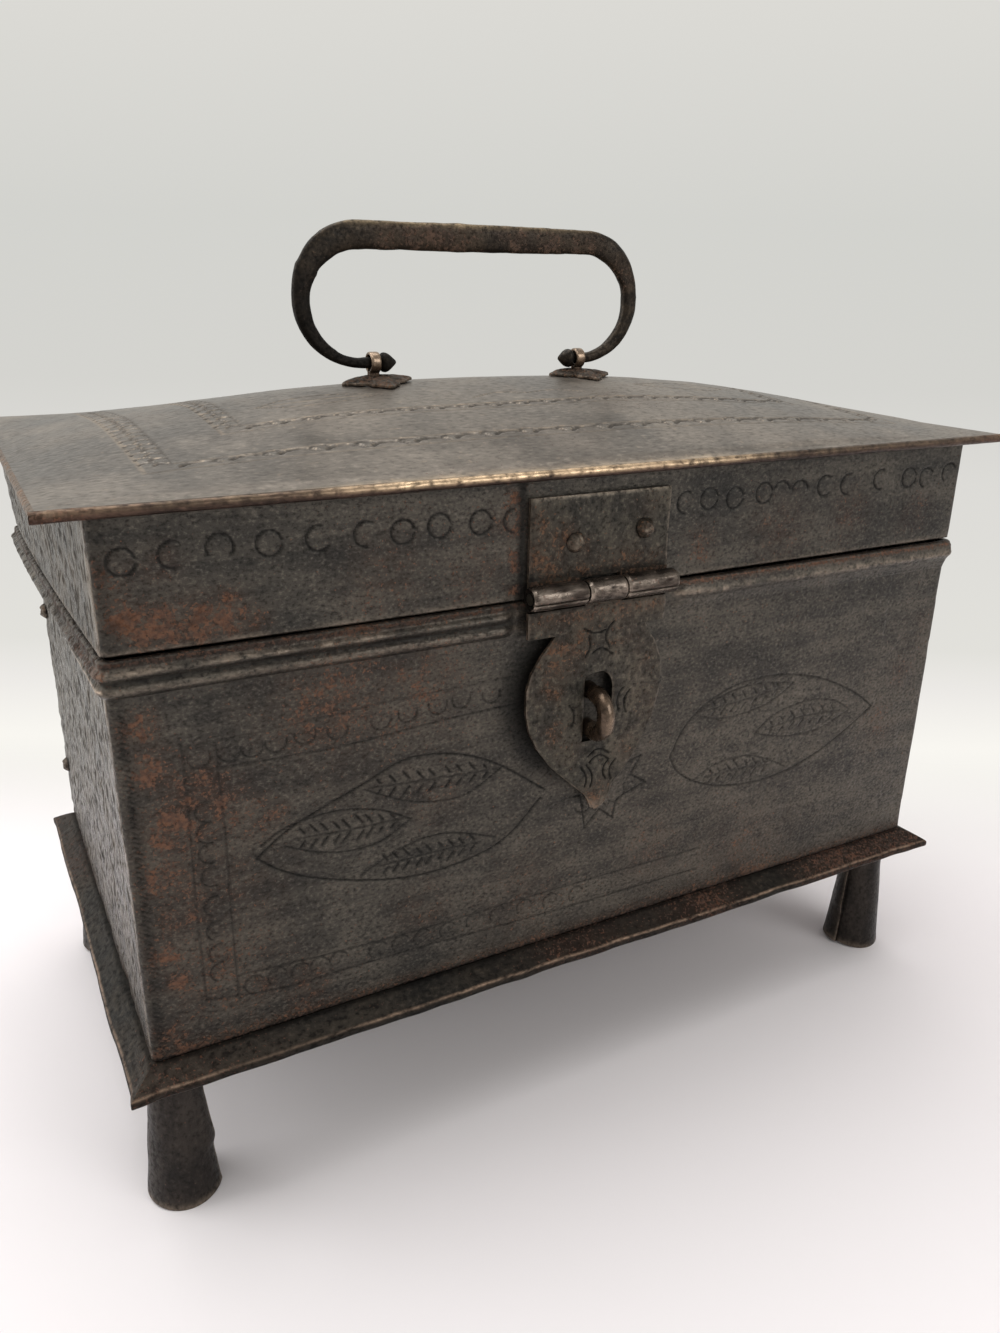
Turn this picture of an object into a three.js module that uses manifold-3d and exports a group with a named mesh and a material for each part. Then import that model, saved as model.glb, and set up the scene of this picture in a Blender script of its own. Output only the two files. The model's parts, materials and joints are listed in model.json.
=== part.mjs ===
// A footed iron strongbox of folded and riveted sheet, in millimetres, +Z up.
// The front faces -Y. The origin lies on the ground under the middle of the bounding box.
import * as THREE from "three";
import { mergeVertices } from "three/addons/utils/BufferGeometryUtils.js";
import Module from "manifold-3d";

const wasm = await Module();
wasm.setup();

// Sheet, strap and clearances
const sheet = 1.2;
const strap = 1.4;
const gap = 0.3;
const overrun = 2;
const seamGap = 2.4;

// Body
const bodyWidth = 280;
const bodyDepth = 154;
const wallHeight = 104.4;
const cornerRadius = 3.2;
const flareHeight = 4.2;
const beadHeight = 4.6;
const beadReach = 2.2;
const rimTurn = 1.6;
const sideBow = 5;
const lipWidth = 7;
const lipNotch = 18;
const cornerLap = 12;

// Base and feet
const footHeight = 52;
const footBottomRadius = 10.4;
const footTopRadius = 6.2;
const footInsetX = 5.8;
const footInsetY = 10.4;
const footLap = 1;
const skirtReach = 7.4;
const skirtDrop = 3.9;
const skirtEdge = 1.5;
const skirtCornerRadius = 1.6;

// Lid
const lidWallHeight = 32.6;
const lidCrown = 15.4;
const overhangFront = 6.1;
const overhangSide = 11;
const hem = 2.8;
const hemRoll = 0.9;
const plateCornerRadius = 2.5;

// Rivets: head radius, head height and shank radius
const largeRivet = { head: 2.9, rise: 1.9, shank: 1.4, tail: 2.2, tailRise: 1 };
const smallRivet = { head: 2.3, rise: 1.2, shank: 1.1, tail: 1.9, tailRise: 0.8 };
const sideRivetLow = 23;
const sideRivetHigh = 83.2;
const sideRivetInset = 6;
const lidRivetHeight = 20;

// Hinges, front and back
const pinRadius = 1.7;
const knuckleWall = 1.6;
const knuckleGap = 0.4;
const rearHingeOffset = 78;
const rearKnuckle = 10;
const rearLeafHeight = 26;
const rearLeafTipWidth = 12;
const rearRivetRise = 15;
const rearRivetSpread = 8;

// Hasp
const haspX = -6.5;
const haspAxisDrop = 0.9;
const haspPlateWidth = 46.5;
const haspPlateHeight = 23;
const haspSideKnuckle = 17.6;
const haspMiddleKnuckle = 12.4;
const haspRivets = [
  { x: -8.8, rise: 13.8 },
  { x: 14.2, rise: 15.8 },
];
const leafShoulder = 11.6;
const leafLength = 69.4;
const leafNeckWidth = 31;
const leafWidth = 47.2;
const slotWidth = 9.8;
const slotTop = 24.2;
const slotBottom = 47.4;

// Staple
const stapleOffset = -1.5;
const stapleWire = 5;
const stapleReach = 13.3;
const stapleSpan = 11.8;
const stapleDrop = 37;
const clinchLength = 6;
const clinchGap = 0.8;
const washerWidth = 14;
const washerHeight = 36;

// Handle and its eyes
const handleX = -4.5;
const handleLeftStem = 4;
const handleRightStem = 1.8;
const handleRise = 36.6;
const eyeHalfSpan = 37.3;
const eyeRise = 6.4;
const barRadius = 1.8;
const gripHeight = 8.8;
const gripThickness = 4.2;
const sideHeight = 5.6;
const sideThickness = 4.6;
const budRadius = 3;
const budLength = 5.5;
const budTip = 0.3;
const eyeWidth = 3.4;
const eyeStrap = 1.1;
const eyeClearance = 0.4;
const eyeLegGap = 0.4;
const eyeLegSlope = 0.8;
const eyeLegSpread = 6;
const rosetteRadius = 11.4;
const rosetteThickness = 1;
const rosetteRise = 1.3;
const rosetteHole = 2.8;

// Facet counts
const roundSides = 16;
const rivetSides = 12;
const cornerSteps = 4;
const wallSteps = 7;
const lipSteps = 9;
const footSides = 28;
const lidSteps = 11;
const lidRings = 8;
const leafSteps = 22;
const loopSteps = 12;
const barSides = 14;
const eyeSteps = 18;
const rosetteSides = 40;

// Shares: how far each stage of an outline goes, as parts of the sizes they follow
const crownSideShare = 2.4;
const crownFrontShare = 1.52;
const rivetHeadShares = [
  { radius: 1, rise: 0.45 },
  { radius: 0.72, rise: 0.88 },
];
const footSeamShare = 0.0018;
const rearLeafWaistShare = 0.62;
const leafTuckShare = 0.62;
const barSquareShare = 0.8;
const rosetteRingShares = [0, 0.35, 0.7, 1];
const rosettePointShare = 0.18;
const rosetteRippleShare = 0.03;
const leafOutlineShares = [
  { down: 0, out: 0 },
  { down: 0.1, out: 0.5 },
  { down: 0.22, out: 0.84 },
  { down: 0.34, out: 1 },
  { down: 0.47, out: 0.96 },
  { down: 0.6, out: 0.72 },
  { down: 0.72, out: 0.34 },
  { down: 0.82, out: -0.22 },
  { down: 0.885, out: -0.78 },
  { down: 0.905, out: -1.1 },
];
const budShares = [
  { along: 1, radius: 0 },
  { along: 0.82, radius: 0.4 },
  { along: 0.52, radius: 0.82 },
  { along: 0.28, radius: 1 },
  { along: 0.1, radius: 0.9 },
];
const beadOutShares = [
  { up: 0, flare: 0, bead: 0, bow: 0 },
  { up: 0, flare: 0.5, bead: 0.25, bow: 0.45 },
  { up: 0, flare: 1, bead: 0.8, bow: 1 },
  { up: 0.16, flare: 1, bead: 0.74, bow: 1 },
  { up: 0.42, flare: 1, bead: 1, bow: 1 },
  { up: 0.72, flare: 1, bead: 0.94, bow: 1 },
];

// Derived heights and half sizes
const halfWidth = bodyWidth / 2;
const halfDepth = bodyDepth / 2;
const plateHalfX = halfWidth + overhangSide;
const plateHalfY = halfDepth + overhangFront;
const baseUnder = footHeight + gap;
const baseTop = baseUnder + sheet;
const wallBottom = baseTop + gap;
const flareStart = wallBottom + wallHeight;
const beadStart = flareStart + flareHeight;
const rimTop = beadStart + beadHeight;
const lidBottom = rimTop + seamGap;
const lidWallTop = lidBottom + lidWallHeight;
const plateUnder = lidWallTop + gap;
const plateTop = plateUnder + sheet;
const knuckleBore = pinRadius + gap;
const knuckleRadius = knuckleBore + knuckleWall;
const knuckleOut = gap + knuckleRadius;
const haspAxisZ = lidBottom - haspAxisDrop;
const haspAxisY = -halfDepth - knuckleOut;
const rearAxisZ = rimTop + seamGap / 2;
const rearAxisY = halfDepth + knuckleOut;
const leafBack = beadReach + gap;
const frontReach = halfDepth + stapleReach;
const backReach = rearAxisY + knuckleRadius;

const colours = {
  wall: 0x35302c,
  lid: 0x46423e,
  strap: 0x3a342f,
  rivet: 0x3d352f,
  handle: 0x332e2a,
  staple: 0x6b5a47,
  foot: 0x2a2725,
};

const root = new THREE.Group();
root.position.y = (frontReach - backReach) / 2;

function add(name, geometry, colour, roughness = 0.55, metalness = 0.7) {
  geometry.computeVertexNormals();
  const material = new THREE.MeshStandardMaterial({ color: colour, roughness, metalness });
  const mesh = new THREE.Mesh(geometry, material);
  mesh.name = name;
  root.add(mesh);
  return mesh;
}

// Mesh helpers

// Merges shared corners, drops collapsed triangles and turns the faces outwards.
function tidy(geometry) {
  const bare = new THREE.BufferGeometry();
  bare.setAttribute("position", geometry.getAttribute("position"));
  if (geometry.index) bare.setIndex(geometry.index);
  const merged = mergeVertices(bare);
  const place = merged.getAttribute("position");
  const corner = [new THREE.Vector3(), new THREE.Vector3(), new THREE.Vector3()];
  const kept = [];
  let volume = 0;
  for (let i = 0; i < merged.index.count; i += 3) {
    const face = [merged.index.getX(i), merged.index.getX(i + 1), merged.index.getX(i + 2)];
    if (face[0] === face[1] || face[1] === face[2] || face[2] === face[0]) continue;
    face.forEach((index, k) => corner[k].fromBufferAttribute(place, index));
    volume += corner[0].dot(corner[1].clone().cross(corner[2]));
    kept.push(face);
  }
  const turned = volume < 0 ? kept.map(([a, b, c]) => [a, c, b]) : kept;
  merged.setIndex(turned.flat());
  return merged;
}

function toSolid(geometry) {
  const clean = tidy(geometry);
  return new wasm.Manifold(new wasm.Mesh({
    numProp: 3,
    vertProperties: Float32Array.from(clean.getAttribute("position").array),
    triVerts: Uint32Array.from(clean.index.array),
  }));
}

function fromSolid(solid) {
  const mesh = solid.getMesh();
  const geometry = new THREE.BufferGeometry();
  geometry.setAttribute("position", new THREE.BufferAttribute(mesh.vertProperties, 3));
  geometry.setIndex(new THREE.BufferAttribute(mesh.triVerts, 1));
  return geometry;
}

function join(...geometries) {
  return fromSolid(geometries.map(toSolid).reduce((whole, next) => whole.add(next)));
}

function cut(geometry, ...tools) {
  return fromSolid(tools.map(toSolid).reduce((whole, tool) => whole.subtract(tool), toSolid(geometry)));
}

// Skins a run of closed loops that have the same number of points.
// The run closes on itself like a ring, or its first and last loops are filled.
function skin(loops, ring = false) {
  const count = loops[0].length;
  const points = loops.flat();
  const faces = [];
  const spans = ring ? loops.length : loops.length - 1;
  for (let k = 0; k < spans; k += 1) {
    const from = k * count;
    const to = ((k + 1) % loops.length) * count;
    for (let i = 0; i < count; i += 1) {
      const j = (i + 1) % count;
      faces.push(from + i, from + j, to + j, from + i, to + j, to + i);
    }
  }
  if (!ring) {
    const last = (loops.length - 1) * count;
    for (const [a, b, c] of fill(loops[0])) faces.push(c, b, a);
    for (const [a, b, c] of fill(loops[loops.length - 1])) faces.push(last + a, last + b, last + c);
  }
  const geometry = new THREE.BufferGeometry();
  geometry.setFromPoints(points);
  geometry.setIndex(faces);
  return tidy(geometry);
}

// Triangles that fill a loop, found in the plane of the two axes it spreads over most.
function fill(loop) {
  const normal = new THREE.Vector3();
  loop.forEach((p, i) => {
    const q = loop[(i + 1) % loop.length];
    normal.add(new THREE.Vector3().crossVectors(p, q));
  });
  const flat = loop.map((p) => {
    if (Math.abs(normal.x) >= Math.max(Math.abs(normal.y), Math.abs(normal.z))) {
      return new THREE.Vector2(Math.sign(normal.x) * p.y, p.z);
    }
    if (Math.abs(normal.y) >= Math.abs(normal.z)) {
      return new THREE.Vector2(Math.sign(normal.y) * p.z, p.x);
    }
    return new THREE.Vector2(Math.sign(normal.z) * p.x, p.y);
  });
  return THREE.ShapeUtils.triangulateShape(flat, []);
}

// Outline helpers

function disc(u, v, radius, sides = roundSides) {
  return Array.from({ length: sides }, (_, i) => {
    const turn = (2 * Math.PI * i) / sides;
    return new THREE.Vector2(u + radius * Math.cos(turn), v + radius * Math.sin(turn));
  });
}

function rectangle(u0, u1, v0, v1) {
  return [[u0, v0], [u1, v0], [u1, v1], [u0, v1]].map(([u, v]) => new THREE.Vector2(u, v));
}

// A strip of even width that follows a line, with mitred bends.
function ribbon(line, width) {
  const left = [];
  const right = [];
  line.forEach((here, i) => {
    const before = line[Math.max(i - 1, 0)];
    const after = line[Math.min(i + 1, line.length - 1)];
    const arriving = here.clone().sub(before).normalize();
    const leaving = after.clone().sub(here).normalize();
    const along = arriving.clone().add(leaving).normalize();
    const stretch = i === 0 || i === line.length - 1 ? 1 : along.dot(arriving);
    const side = new THREE.Vector2(-along.y, along.x).multiplyScalar(width / 2 / stretch);
    left.push(here.clone().add(side));
    right.push(here.clone().sub(side));
  });
  return left.concat(right.reverse());
}

// A straight prism along one axis. Outlines are in (y, z) for x, (x, z) for y and (x, y) for z.
function prism(axis, outline, start, end) {
  const shape = new THREE.Shape(axis === "y" ? outline.map((p) => new THREE.Vector2(p.y, p.x)) : outline);
  const geometry = new THREE.ExtrudeGeometry(shape, { depth: end - start, bevelEnabled: false });
  geometry.translate(0, 0, start);
  const right = new THREE.Vector3(1, 0, 0);
  const back = new THREE.Vector3(0, 1, 0);
  const up = new THREE.Vector3(0, 0, 1);
  const turn = { x: [back, up, right], y: [up, right, back], z: [right, back, up] };
  return geometry.applyMatrix4(new THREE.Matrix4().makeBasis(...turn[axis]));
}

// Plan of a rounded rectangle as loop points, with the same count whatever its size.
// The height is one level, or a function of the place in plan.
function rectangleLoop(halfX, halfY, radius, height, steps = 1) {
  const loop = [];
  const quarter = Math.PI / 2;
  for (let q = 0; q < 4; q += 1) {
    const signX = q === 0 || q === 3 ? 1 : -1;
    const signY = q < 2 ? 1 : -1;
    for (let i = 0; i <= cornerSteps; i += 1) {
      const turn = quarter * (q + i / cornerSteps);
      const x = signX * (halfX - radius) + radius * Math.cos(turn);
      const y = signY * (halfY - radius) + radius * Math.sin(turn);
      loop.push(new THREE.Vector2(x, y));
    }
    const from = loop[loop.length - 1];
    const nextX = q === 0 || q === 2 ? -from.x : from.x;
    const nextY = q === 0 || q === 2 ? from.y : -from.y;
    for (let i = 1; i < steps; i += 1) {
      loop.push(from.clone().lerp(new THREE.Vector2(nextX, nextY), i / steps));
    }
  }
  const level = typeof height === "function" ? height : () => height;
  return loop.map((p) => new THREE.Vector3(p.x, p.y, level(p.x, p.y)));
}

// A rivet as a turned shape: head on the outer face, shank through the stack, tail inside.
function rivet(size, stack, axis, sign, at) {
  const profile = [
    [0, -stack - gap - size.tailRise],
    [size.tail, -stack - gap - size.tailRise],
    [size.tail, -stack - gap],
    [size.shank, -stack - gap],
    [size.shank, gap],
    [size.head, gap],
    ...rivetHeadShares.map((s) => [size.head * s.radius, gap + size.rise * s.rise]),
    [0, gap + size.rise],
  ].map(([r, h]) => new THREE.Vector2(r, h));
  const geometry = new THREE.LatheGeometry(profile, rivetSides);
  const outward = new THREE.Vector3();
  outward[axis] = sign;
  const turn = new THREE.Quaternion().setFromUnitVectors(new THREE.Vector3(0, 1, 0), outward);
  geometry.applyQuaternion(turn);
  geometry.translate(at.x, at.y, at.z);
  return tidy(geometry);
}

// The hole that a rivet's shank passes through, as a cutting tool.
function rivetHole(size, axis, u, v, start, end) {
  return prism(axis, disc(u, v, size.shank + gap, rivetSides), start - overrun, end + overrun);
}

// Sheet walls folded round the front and both sides

// How far the side walls of the lid and rim bow out at depth y: nothing at the front, most at the back.
function bowAt(y) {
  return sideBow * Math.sin((Math.PI / 2) * Math.min(Math.max((y + halfDepth) / bodyDepth, 0), 1));
}

// Stations along the folded sheet, from the left back edge round the front to the right back edge.
// The bead is dressed flat behind the hasp.
function wallStations() {
  const stations = [];
  for (let i = 0; i < wallSteps; i += 1) {
    const y = halfDepth + (cornerRadius - bodyDepth) * (i / wallSteps);
    stations.push({ x: -halfWidth, y, out: [-1, 0], bow: bowAt(y), bead: 1 });
  }
  for (let i = 0; i <= cornerSteps; i += 1) {
    const turn = Math.PI + ((Math.PI / 2) * i) / cornerSteps;
    const out = [Math.cos(turn), Math.sin(turn)];
    const x = -halfWidth + cornerRadius * (1 + out[0]);
    const y = -halfDepth + cornerRadius * (1 + out[1]);
    stations.push({ x, y, out, bow: bowAt(y) * -out[0], bead: 1 });
  }
  const flatHalf = haspPlateWidth / 2 + 2 * knuckleWall;
  const fade = 2 * beadReach;
  const front = [
    [(haspX - flatHalf - fade - halfWidth) / 2, 1],
    [haspX - flatHalf - fade, 1],
    [haspX - flatHalf, 0],
    [haspX + flatHalf, 0],
    [haspX + flatHalf + fade, 1],
    [(haspX + flatHalf + fade + halfWidth) / 2, 1],
  ];
  for (const [x, bead] of front) stations.push({ x, y: -halfDepth, out: [0, -1], bow: 0, bead });
  const left = stations.slice(0, wallSteps + cornerSteps + 1).reverse();
  return stations.concat(left.map((s) => ({ ...s, x: -s.x, out: [-s.out[0], s.out[1]] })));
}

// Skins a wall whose section, a ribbon in (outward, up), is given at each station.
function foldedWall(section) {
  return skin(wallStations().map((s) => section(s).map(
    (p) => new THREE.Vector3(s.x + s.out[0] * p.x, s.y + s.out[1] * p.x, p.y),
  )));
}

// Centre line of the body wall: upright, then a flare, a rounded bead and a turned-in rim.
function bodyWallLine(station) {
  const inner = -sheet / 2;
  const reach = beadReach * station.bead;
  const line = [new THREE.Vector2(inner, wallBottom)];
  for (const s of beadOutShares) {
    line.push(new THREE.Vector2(
      inner + reach * s.bead + station.bow * s.bow,
      flareStart + flareHeight * s.flare + beadHeight * s.up,
    ));
  }
  line.push(new THREE.Vector2(inner + (reach - rimTurn) * station.bead + station.bow, rimTop - sheet / 2));
  return line;
}

function bodyWrapper() {
  const wall = foldedWall((s) => ribbon(bodyWallLine(s), sheet));
  const lipTop = wallBottom + sheet;
  const lips = [prism("z", rectangle(
    -halfWidth + lipNotch, halfWidth - lipNotch, -halfDepth + sheet / 2, -halfDepth + sheet + lipWidth,
  ), wallBottom, lipTop)];
  for (const side of [-1, 1]) {
    const from = side * (halfWidth - sheet / 2);
    const to = side * (halfWidth - sheet - lipWidth);
    lips.push(prism("z", rectangle(
      Math.min(from, to), Math.max(from, to), -halfDepth + lipNotch, halfDepth - lipNotch,
    ), wallBottom, lipTop));
  }
  const holes = [];
  for (const z of sideRivetHeights) {
    const y = halfDepth - sideRivetInset;
    holes.push(rivetHole(largeRivet, "x", y, z, -halfWidth - overrun, halfWidth + overrun));
  }
  for (const z of stapleLegHeights) {
    const hole = disc(stapleX, z, stapleWire / 2 + gap);
    holes.push(prism("y", hole, -halfDepth - overrun, -halfDepth + sheet + overrun));
  }
  for (const p of floorRivetPlaces) {
    if (p.y < halfDepth / 2) holes.push(rivetHole(smallRivet, "z", p.x, p.y, wallBottom, lipTop));
  }
  return cut(join(wall, ...lips), ...holes);
}

const sideRivetHeights = [wallBottom + sideRivetLow, wallBottom + sideRivetHigh];
const stapleX = haspX + stapleOffset;
const stapleZ = haspAxisZ - stapleDrop;
const stapleLegHeights = [stapleZ - stapleSpan / 2, stapleZ + stapleSpan / 2];
const lipRivetInset = sheet + lipWidth / 2;
const floorRivetPlaces = [
  { x: -halfWidth / 2, y: -halfDepth + lipRivetInset },
  { x: halfWidth / 2, y: -halfDepth + lipRivetInset },
  { x: -halfWidth + lipRivetInset, y: 0 },
  { x: halfWidth - lipRivetInset, y: 0 },
  { x: -halfWidth / 2, y: halfDepth - lipRivetInset },
  { x: halfWidth / 2, y: halfDepth - lipRivetInset },
];
const footPlaces = [
  { name: "front_left", x: -halfWidth + footInsetX, y: -halfDepth + footInsetY, seam: 0 },
  { name: "front_right", x: halfWidth - footInsetX, y: -halfDepth + footInsetY, seam: Math.PI },
  { name: "back_left", x: -halfWidth + footInsetX, y: halfDepth - footInsetY, seam: 0 },
  { name: "back_right", x: halfWidth - footInsetX, y: halfDepth - footInsetY, seam: Math.PI },
];
const rearHinges = [
  { name: "left", x: -rearHingeOffset },
  { name: "right", x: rearHingeOffset },
];

function rearRivetPlaces(hinge, direction) {
  return [-1, 1].map((side) => ({
    x: hinge.x + side * rearRivetSpread,
    z: rearAxisZ + direction * rearRivetRise,
  }));
}

// The back sheet stands between the side walls, with its ends and foot turned inwards.
function bodyBack() {
  const end = halfWidth - sheet - gap;
  const plan = [
    [-end + sheet / 2, halfDepth - cornerLap],
    [-end + sheet / 2, halfDepth - sheet / 2],
    [end - sheet / 2, halfDepth - sheet / 2],
    [end - sheet / 2, halfDepth - cornerLap],
  ].map(([x, y]) => new THREE.Vector2(x, y));
  const wall = prism("z", ribbon(plan, sheet), wallBottom, flareStart);
  const wide = end + sideBow;
  const spread = flareStart + gap;
  const crest = beadStart + gap;
  const top = [
    [-end, flareStart - sheet], [end, flareStart - sheet], [end, spread], [wide, crest],
    [wide, rimTop - sheet - gap], [-wide, rimTop - sheet - gap], [-wide, crest], [-end, spread],
  ].map(([x, z]) => new THREE.Vector2(x, z));
  const panel = prism("y", top, halfDepth - sheet, halfDepth);
  const rim = prism("y", rectangle(-end, end, rimTop - 2 * sheet, rimTop), halfDepth - sheet, halfDepth);
  const lip = prism("z", rectangle(
    -halfWidth + lipNotch, halfWidth - lipNotch, halfDepth - sheet - lipWidth, halfDepth - sheet / 2,
  ), wallBottom, wallBottom + sheet);
  const holes = [];
  for (const z of sideRivetHeights) {
    holes.push(rivetHole(largeRivet, "x", halfDepth - sideRivetInset, z, -halfWidth, halfWidth));
  }
  for (const hinge of rearHinges) {
    for (const p of rearRivetPlaces(hinge, -1)) {
      holes.push(rivetHole(smallRivet, "y", p.x, p.z, halfDepth - sheet, halfDepth));
    }
  }
  for (const p of floorRivetPlaces) {
    const atBack = p.y > halfDepth / 2;
    if (atBack) holes.push(rivetHole(smallRivet, "z", p.x, p.y, wallBottom, wallBottom + sheet));
  }
  return cut(join(wall, panel, rim, lip), ...holes);
}

// The floor sheet runs out past the walls as a sloping skirt with a turned-down edge.
function basePlate() {
  const ring = (reach, z) => rectangleLoop(halfWidth + reach, halfDepth + reach, skirtCornerRadius, z);
  const inner = sheet / 2;
  const edge = skirtReach;
  const slopeFoot = baseTop - skirtDrop;
  const plate = skin([
    ring(-inner, baseTop),
    ring(inner, baseTop),
    ring(edge - inner, slopeFoot + inner / 2),
    ring(edge, slopeFoot - inner),
    ring(edge, slopeFoot - sheet - skirtEdge),
    ring(edge - sheet, slopeFoot - sheet - skirtEdge),
    ring(edge - sheet, slopeFoot - sheet),
    ring(inner, baseUnder),
    ring(-inner, baseUnder),
  ]);
  const holes = footPlaces.map((p) => rivetHole(largeRivet, "z", p.x, p.y, baseUnder, baseTop));
  for (const p of floorRivetPlaces) holes.push(rivetHole(smallRivet, "z", p.x, p.y, baseUnder, baseTop));
  return cut(plate, ...holes);
}

// A foot rolled from sheet into a cone, with its seam lapped, its top closed and its bottom open.
function foot(place) {
  const loopAt = (radius, z, lap) => Array.from({ length: footSides }, (_, i) => {
    const share = i / (footSides - 1);
    const turn = place.seam + 2 * Math.PI * Math.min(share, 1 - footSeamShare);
    const r = radius + lap * share;
    return new THREE.Vector3(place.x + r * Math.cos(turn), place.y + r * Math.sin(turn), z);
  });
  const bore = largeRivet.shank + gap;
  const lapStart = -footLap / 2;
  return skin([
    loopAt(footBottomRadius - sheet + lapStart, 0, footLap),
    loopAt(footBottomRadius + lapStart, 0, footLap),
    loopAt(footTopRadius + lapStart, footHeight - sheet, footLap),
    loopAt(footTopRadius - sheet / 2, footHeight, 0),
    loopAt(bore, footHeight, 0),
    loopAt(bore, footHeight - sheet, 0),
    loopAt(footTopRadius - sheet + lapStart, footHeight - sheet, footLap),
  ], true);
}

// Lid

// Height of the lid sheet over its edge at a place in plan.
function crownAt(x, y) {
  const across = Math.min(Math.abs(x) / plateHalfX, 1);
  const along = Math.min(Math.abs(y) / plateHalfY, 1);
  return lidCrown * (1 - across ** crownSideShare) * (1 - along ** crownFrontShare);
}

const eyePlaces = [
  { name: "left", x: handleX - eyeHalfSpan },
  { name: "right", x: handleX + eyeHalfSpan },
];
const eyeSeat = plateTop + crownAt(eyePlaces[0].x, 0);
const handleAxisZ = eyeSeat + eyeRise;

// The lid plate: a pressed crown that runs out over the walls, with a hem rolled down at its edge.
function lidTop() {
  const inside = (share, level) => rectangleLoop(
    (plateHalfX - hem) * share, (plateHalfY - hem) * share, plateCornerRadius * share,
    (x, y) => level + crownAt(x, y), lidSteps,
  );
  const outside = (inset, z) => rectangleLoop(
    plateHalfX - inset, plateHalfY - inset, plateCornerRadius, z, lidSteps,
  );
  const shares = Array.from({ length: lidRings }, (_, i) => (i + 1) / lidRings);
  const loops = [
    ...shares.map((s) => inside(s, plateTop)),
    outside(hemRoll, plateTop),
    outside(0, plateTop - hemRoll),
    outside(0, plateTop - hem + hemRoll),
    outside(hemRoll, plateTop - hem),
    outside(hem - hemRoll, plateTop - hem),
    ...shares.map((s) => inside(s, plateUnder)).reverse(),
  ];
  const holes = eyePlaces.map((p) => prism(
    "z", disc(p.x, 0, eyeHole), eyeSeat - sheet - overrun, eyeSeat + overrun,
  ));
  return cut(skin(loops), ...holes);
}

const eyeHole = Math.hypot(eyeWidth / 2, eyeStrap + eyeLegGap / 2) + gap;

// A strip turned in from a lid wall under the plate, along a run of points on the wall's outer face.
function lidLip(run, inX, inY) {
  return skin(run.map(([x, y]) => {
    const places = [sheet / 2, sheet + lipWidth].map((d) => [x + inX * d, y + inY * d]);
    const tops = places.map(([u, v]) => new THREE.Vector3(u, v, lidWallTop + crownAt(u, v)));
    const unders = tops.map((p) => new THREE.Vector3(p.x, p.y, p.z - sheet));
    return [...tops, ...unders.reverse()];
  }));
}

// Places from one end of a run to the other, both ends included.
function spread(from, to, count) {
  return Array.from({ length: count }, (_, i) => from + ((to - from) * i) / (count - 1));
}

function lidWrapper() {
  const inner = -sheet / 2;
  const wall = foldedWall((s) => {
    const x = s.x + s.out[0] * s.bow;
    const top = lidWallTop + crownAt(x, s.y);
    return ribbon([
      new THREE.Vector2(inner + s.bow, lidBottom),
      new THREE.Vector2(inner + s.bow, (lidBottom + top) / 2),
      new THREE.Vector2(inner + s.bow, top),
    ], sheet);
  });
  const front = spread(-halfWidth + lipNotch, halfWidth - lipNotch, lipSteps);
  const lips = [lidLip(front.map((x) => [x, -halfDepth]), 0, 1)];
  for (const side of [-1, 1]) {
    const run = spread(-halfDepth + lipNotch, halfDepth - lipNotch, lipSteps);
    lips.push(lidLip(run.map((y) => [side * (halfWidth + bowAt(y)), y]), -side, 0));
  }
  const holes = [rivetHole(
    largeRivet, "x", halfDepth - sideRivetInset, lidBottom + lidRivetHeight,
    -halfWidth - sideBow, halfWidth + sideBow,
  )];
  for (const p of haspRivets) {
    holes.push(rivetHole(largeRivet, "y", haspX + p.x, haspAxisZ + p.rise, -halfDepth, -halfDepth + sheet));
  }
  return cut(join(wall, ...lips), ...holes);
}

function lidBack() {
  const end = halfWidth + sideBow - sheet - gap;
  const outline = spread(end, -end, 2 * lipSteps).map((x) => (
    new THREE.Vector2(x, lidWallTop + crownAt(x, halfDepth))
  ));
  outline.push(new THREE.Vector2(-end, lidBottom), new THREE.Vector2(end, lidBottom));
  const panel = prism("y", outline, halfDepth - sheet, halfDepth);
  const returns = [-1, 1].map((side) => prism("z", rectangle(
    Math.min(side * end, side * (end - sheet)), Math.max(side * end, side * (end - sheet)),
    halfDepth - cornerLap, halfDepth - sheet / 2,
  ), lidBottom, lidWallTop));
  const run = spread(-halfWidth + lipNotch, halfWidth - lipNotch, lipSteps);
  const lip = lidLip(run.map((x) => [x, halfDepth]), 0, -1);
  const holes = [rivetHole(
    largeRivet, "x", halfDepth - sideRivetInset, lidBottom + lidRivetHeight,
    -halfWidth - sideBow, halfWidth + sideBow,
  )];
  for (const hinge of rearHinges) {
    for (const p of rearRivetPlaces(hinge, 1)) {
      holes.push(rivetHole(smallRivet, "y", p.x, p.z, halfDepth - sheet, halfDepth));
    }
  }
  return cut(join(panel, ...returns, lip), ...holes);
}

// Hinges: each leaf is a plate with rolled knuckles on it

function knuckle(y, z, start, end) {
  return prism("x", disc(y, z, knuckleRadius), start, end);
}

function hingePin(y, z, start, end) {
  return prism("x", disc(y, z, pinRadius), start, end);
}

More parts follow.
